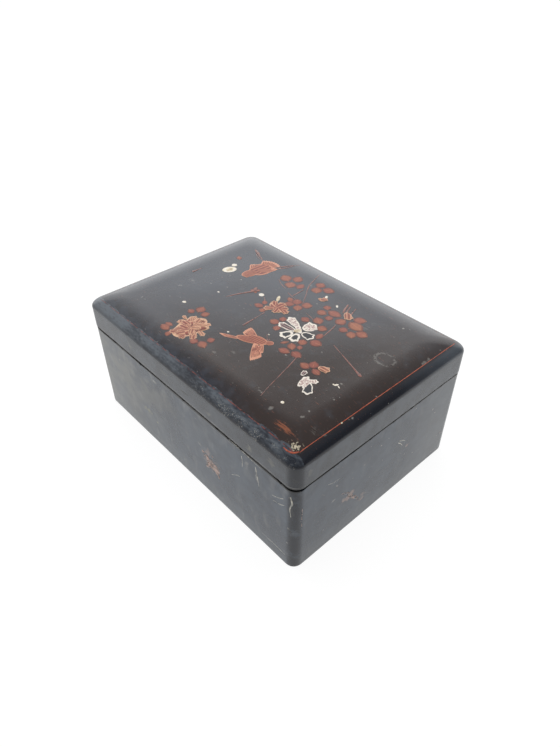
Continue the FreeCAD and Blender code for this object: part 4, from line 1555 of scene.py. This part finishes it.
def slate():
    """Blue-grey stone whose well and worn land are darkened by ink."""
    material, board = finish("slate")
    place = board.place()
    _, y, z = board.axes(place)
    _, mottle, grain = clouds(board, place)
    colour = board.mix(board.band(mottle, 0.3, 0.7), rgb(50, 53, 58), rgb(70, 72, 76))
    layer = board.noise(place, 3.0, 3, 2.0, (6, 6, 0.5))
    colour = board.mix(board.band(layer, 0.45, 0.7) * 0.4, colour, rgb(60, 58, 54))
    glint = board.band(board.noise(place, 0.35, 1, 7.0), 0.68, 0.74)
    colour = board.mix(glint * 0.5, colour, rgb(150, 152, 156))
    stone_low, stone_high = (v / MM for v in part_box("inkstone"))
    sunk = board.band(z + (mottle - 0.5) * 1.2, stone_high.z - 1.4, stone_high.z - 3.4)
    well = board.band(y + (mottle - 0.5) * 9, stone_low.y + WELL_START, stone_low.y + WELL_FULL)
    inked = sunk * (0.35 + well * 0.6)
    colour = board.mix(inked, colour, rgb(17, 17, 20))
    surface(board, colour, 0.62 - inked * 0.28, grain * 0.3 + layer * 0.4, 0.05, IOR=1.5)
    return material


coat("inkstone", slate(), STONE_EASE)
print("inkstone finished")

# %% Copper


def copper():
    """Brown copper, rubbed brighter on top, with specks of green."""
    material, board = finish("copper")
    place = board.place()
    z = board.axes(place)[2]
    _, mottle, grain = clouds(board, place)
    colour = board.mix(board.band(mottle, 0.3, 0.7), rgb(70, 44, 32), rgb(112, 70, 46))
    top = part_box("dropper_top")[1].z / MM
    rubbed = board.band(z, top - 1.0, top - 0.2) * board.band(mottle, 0.35, 0.65)
    colour = board.mix(rubbed * 0.7, colour, rgb(186, 118, 78))
    green = board.band(board.noise(place, 3.5, 4, 5.0), 0.60, 0.72)
    colour = board.mix(green * 0.7, colour, rgb(74, 104, 88))
    hammered = board.node("ShaderNodeTexVoronoi", {}, {"Vector": place, "Scale": 0.42}, "Distance")
    surface(board, colour, 0.34 + green * 0.35, hammered + grain * 0.3, 0.08, Metallic=0.9)
    return material


patina = copper()
coat("dropper_body", patina, 0.25)
coat("dropper_top", patina, 0.2)
print("water dropper finished")

# %% Pressed ink


def pressed_ink():
    """Soot black with a little blue, and gold dust in the panel."""
    material, board = finish("pressed_ink")
    place = board.place()
    x, y, z = board.axes(place)
    _, mottle, grain = clouds(board, place)
    colour = board.mix(board.band(mottle, 0.3, 0.7), rgb(20, 20, 24), rgb(38, 38, 44))
    low, high = (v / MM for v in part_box("ink_stick"))
    across = board.math("ABSOLUTE", y - (low.y + high.y) / 2)
    panel = board.band(z, high.z - 0.2, high.z - 0.4) * board.band(z, high.z - 0.7, high.z - 0.6)
    panel = panel * board.band(across, 7.2, 6.6)
    waves = board.math("SINE", x * 1.3 + board.math("SINE", y * 1.1) * 1.6)
    dust = board.band(waves + (grain - 0.5) * 1.6, 0.35, 0.75) * board.band(mottle, 0.3, 0.5) * panel
    colour = board.mix(dust * 0.85, colour, rgb(176, 138, 70))
    surface(board, colour, 0.52 - dust * 0.14, grain * 0.4 + mottle * 0.3, 0.05, IOR=1.5)
    return material


coat("ink_stick", pressed_ink(), 0.25)
print("ink stick finished")

# %% [markdown]
# ## Turned parts of the brushes
#
# A brush is bamboo, horn and hair. The cane, the button, the ferrule and the cap are turned from rows of
# (place, radius). A Screw modifier on a profile would turn them too, but perfectly round. Rows let each
# point stand in by a little, with the slow unevenness that grown cane has.

# %% Turned parts
TURN_STEPS = 36


def turned(name, node, rows, material, uneven=0.0):
    """Closed piece turned about its node's axis from rows of (x, radius), on the axis at both ends."""
    low, high = (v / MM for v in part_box(node))
    axis_y = (low.y + high.y) / 2
    axis_z = (low.z + high.z) / 2
    points = [(rows[0][0], axis_y, axis_z)]
    for x, radius in rows[1:-1]:
        for n in range(TURN_STEPS):
            angle = 2 * math.pi * n / TURN_STEPS
            y, z = math.cos(angle), math.sin(angle)
            out = radius - uneven * (0.5 + 0.5 * ripple(x, 3 * y, 3 * z, 4, axis_y))
            points.append((x, axis_y + out * y, axis_z + out * z))
    points.append((rows[-1][0], axis_y, axis_z))
    last = len(points) - 1
    faces = []
    for n in range(TURN_STEPS):
        after = (n + 1) % TURN_STEPS
        faces.append((0, 1 + n, 1 + after))
        faces.append((last, last - TURN_STEPS + after, last - TURN_STEPS + n))
        for row in range(len(rows) - 3):
            low_row = 1 + row * TURN_STEPS
            high_row = low_row + TURN_STEPS
            faces.append((low_row + after, low_row + n, high_row + n, high_row + after))
    made = mesh_object(name, points, faces, material)
    shape = bmesh.new()
    shape.from_mesh(made.data)
    bmesh.ops.recalc_face_normals(shape, faces=shape.faces)
    shape.to_mesh(made.data)
    shape.free()
    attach(made, body_of_node[node])
    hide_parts(node)


print("each ring of a turned part has", TURN_STEPS, "points")

# %% [markdown]
# ## Finishes of the brushes
#
# Fibres of bamboo and streaks of horn run along the brush, so their noise is drawn out along X and tight
# across it. The hairs have no pattern of their own: each is pale or brown as a whole by its `tone`, and the
# ink darkens all of them towards the point by `along`.

# %% Bamboo, horn and hair


def bamboo():
    """Straw-coloured cane with fibres along it, browner in patches."""
    material, board = finish("bamboo")
    place = board.place()
    cloud = clouds(board, place)[0]
    fibre = board.noise(place, 0.45, 3, 3.0, (60, 1, 1))
    colour = board.mix(board.band(fibre, 0.35, 0.65), rgb(158, 116, 66), rgb(196, 158, 102))
    colour = board.mix(board.band(cloud, 0.5, 0.75) * 0.6, colour, rgb(120, 78, 42))
    flecks = board.band(board.noise(place, 0.5, 2, 6.0, (6, 1, 1)), 0.66, 0.72)
    colour = board.mix(flecks * 0.6, colour, rgb(84, 52, 30))
    surface(board, colour, 0.34 + fibre * 0.14, fibre, 0.03, IOR=1.5)
    return material


def horn():
    """Dark horn with paler streaks along it."""
    material, board = finish("horn")
    place = board.place()
    streak = board.noise(place, 1.0, 4, 2.0, (8, 1, 1))
    colour = board.mix(board.band(streak, 0.4, 0.7), rgb(34, 24, 18), rgb(104, 74, 44))
    surface(board, colour, 0.22 + streak * 0.12, streak, 0.02, IOR=1.54)
    return material


def hair():
    """Pale hair, darkened by ink towards the point."""
    material, board = finish("hair")
    along, tone = board.attribute("along"), board.attribute("tone")
    inked = board.band(along + tone * 0.18, 0.28, 0.8)
    colour = board.mix(tone, rgb(196, 172, 128), rgb(150, 118, 78))
    colour = board.mix(inked, colour, rgb(30, 28, 30))
    surface(board, colour, 0.5)
    return material


cane_finish = bamboo()
horn_finish = horn()
hair_finish = hair()
print("brush materials ready")

# %% [markdown]
# ## Cane, button, ferrule and cap
#
# Each piece takes its start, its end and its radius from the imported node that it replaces, so a longer
# brush in the model would be a longer brush here. Only the small steps of a turned profile, such as the
# joint of the cane and the groove of the ferrule, are added.

# %% Pieces of a brush
JOINT_SHARE = 0.42
CANE_SOCKET = 3.0
CAP_WALL = 1.1
CAP_BEVEL = 0.4
WIDEST_BUTTON = 0.85


def extent(node):
    """Start, end and radius in millimetres of a node turned about an axis along X."""
    low, high = (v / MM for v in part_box(node))
    return low.x, high.x, (high.z - low.z) / 2


def button(name):
    """Horn button at the tail, its radii as shares of the widest."""
    start, end, radius = extent(name + "_tail")
    rows = [(start, 0), (start + 0.2, 0.42), (start + 0.8, 0.72), (start + 2, 0.84), (start + 2.9, 0.85)]
    rows += [(start + 3.6, 0.72), (end - 0.3, 0.66), (end, 0.62), (end, 0)]
    rows = [(x, share * radius / WIDEST_BUTTON) for x, share in rows]
    turned(name + "_button", name + "_tail", rows, horn_finish)


def cane(name):
    """Bamboo handle with one joint."""
    start, end, radius = extent(name + "_handle")
    joint = start + JOINT_SHARE * (end - CANE_SOCKET - start)
    shaft = radius - 0.15
    rows = [(start, 0), (start, shaft - 0.3), (start + 0.3, shaft)]
    rows += [(x, shaft) for x in stretch(start + 3, joint - 1.6, 18)]
    rows += [(joint - 1.6, shaft), (joint - 0.5, radius), (joint - 0.1, radius - 0.22)]
    rows += [(joint + 0.2, radius - 0.22), (joint + 0.6, radius), (joint + 1.6, shaft)]
    rows += [(x, shaft) for x in stretch(joint + 4, end - 3.3, 22)]
    rows += [(end - 3.1, shaft - 0.2), (end - 3.1, 0)]
    turned(name + "_cane", name + "_handle", rows, cane_finish, 0.1)


def collar(name):
    """Horn ferrule with a fine groove."""
    start, end, radius = extent(name + "_ferrule")
    rows = [(start, 0), (start, radius - 0.4), (start + 0.4, radius), (start + 1.4, radius)]
    rows += [(start + 1.6, radius - 0.2), (start + 1.8, radius)]
    rows += [(end - 0.4, radius), (end, radius - 0.5), (end, 0)]
    turned(name + "_collar", name + "_ferrule", rows, horn_finish)


def sleeve(name):
    """Bamboo cap, hollow up to its blind end."""
    mouth, tip, outside = extent(name + "_cap")
    inside = outside - CAP_WALL
    blind = tip - 2.0
    rows = [(blind, 0), (blind, inside), (mouth, inside)]
    rows += [(mouth, outside - CAP_BEVEL), (mouth + CAP_BEVEL, outside)]
    rows += [(x, outside) for x in stretch(mouth + 3, tip - 2, 12)]
    rows += [(tip - 1.1, outside - 0.1), (tip - 0.4, outside - 0.5), (tip, outside - 1.2), (tip, 0)]
    turned(name + "_sleeve", name + "_cap", rows, cane_finish, 0.08)


print("pieces of a brush ready")

# %% [markdown]
# ## Hair
#
# Geometry Nodes make the hairs, because there are hundreds and they all follow one rule. Each seed is a
# line that leaves the ferrule, bellies out and meets the others at the point. A particle system would comb
# them more freely, but it gives strands, and the finished model needs closed tubes.

# %% The tree of hair
HAIR_POINTS = 9
HAIR_SIDES = 4
hair_tree, board, given = geometry_tree("grow_hair", ("Paint", PAINT))
finish_tree(board, tube(board, given, "Count", HAIR_POINTS, HAIR_SIDES), given.other("Paint"))
print(len(hair_tree.nodes), "nodes grow the hair")

# %% A tuft
HAIR_COUNT = 190
HAIR_WIDTH = 0.42
HAIR_STATIONS = (0.0, 0.16, 0.38, 0.62, 0.84, 1.0)
HAIR_ROOT = 0.5
GOLDEN_TURN = 2.39996


def belly(share):
    """Radius of a tuft as a share of its widest, from the ferrule to the point."""
    bulge = math.sin(math.pi * share ** 0.62) ** 0.8 if share < 1 else 0.0
    return max(0.8 * (1 - share) ** 2, bulge)


def tuft(name):
    """Hairs spread evenly over the ferrule's mouth, each a line of seeds that the tree makes a tube."""
    low, high = (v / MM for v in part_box(name + "_hair"))
    middle = (low + high) / 2
    radius = (high.z - low.z) / 2
    mouth = extent(name + "_ferrule")[1]
    points, edges, widths, tones = [], [], [], []
    for n in range(HAIR_COUNT):
        y, z = math.cos(n * GOLDEN_TURN), math.sin(n * GOLDEN_TURN)
        out = math.sqrt((n + 0.5) / HAIR_COUNT)
        reach = (high.x - mouth) * (1 - 0.07 * (0.5 + 0.5 * math.sin(n * 5.3)) * out)
        for step, share in enumerate(HAIR_STATIONS):
            r = out * belly(share) * (radius - HAIR_WIDTH)
            if step:
                edges.append((len(points) - 1, len(points)))
            x = mouth - HAIR_ROOT + (reach + HAIR_ROOT) * share
            points.append((x, middle.y + r * y, middle.z + r * z))
            widths.append(HAIR_WIDTH * MM * (1 - 0.75 * share))
            tones.append(0.5 + 0.5 * math.sin(n * 7.7))
    numbers = {"wide": widths, "tone": tones}
    grown = grow(name + "_hairs", points, edges, hair_tree, numbers, Paint=hair_finish)
    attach(grown, body_of_node[name + "_hair"])
    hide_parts(name + "_hair")
    print(name, HAIR_COUNT, "hairs,", len(grown.data.polygons), "faces")


# %% The two brushes
for name in ("large_brush", "small_brush"):
    for part in (button, cane, collar, sleeve, tuft):
        part(name)
print("brushes finished")

# %% [markdown]
# ## Size
#
# The skins and the paint must stay inside the box of the imported solids, or the finished object would no
# longer fit where the model says that it does. The picture is shown without a film curve, which keeps the
# white of the table white.

# %% Picture without a film curve
bpy.context.scene.view_settings.view_transform = "Standard"
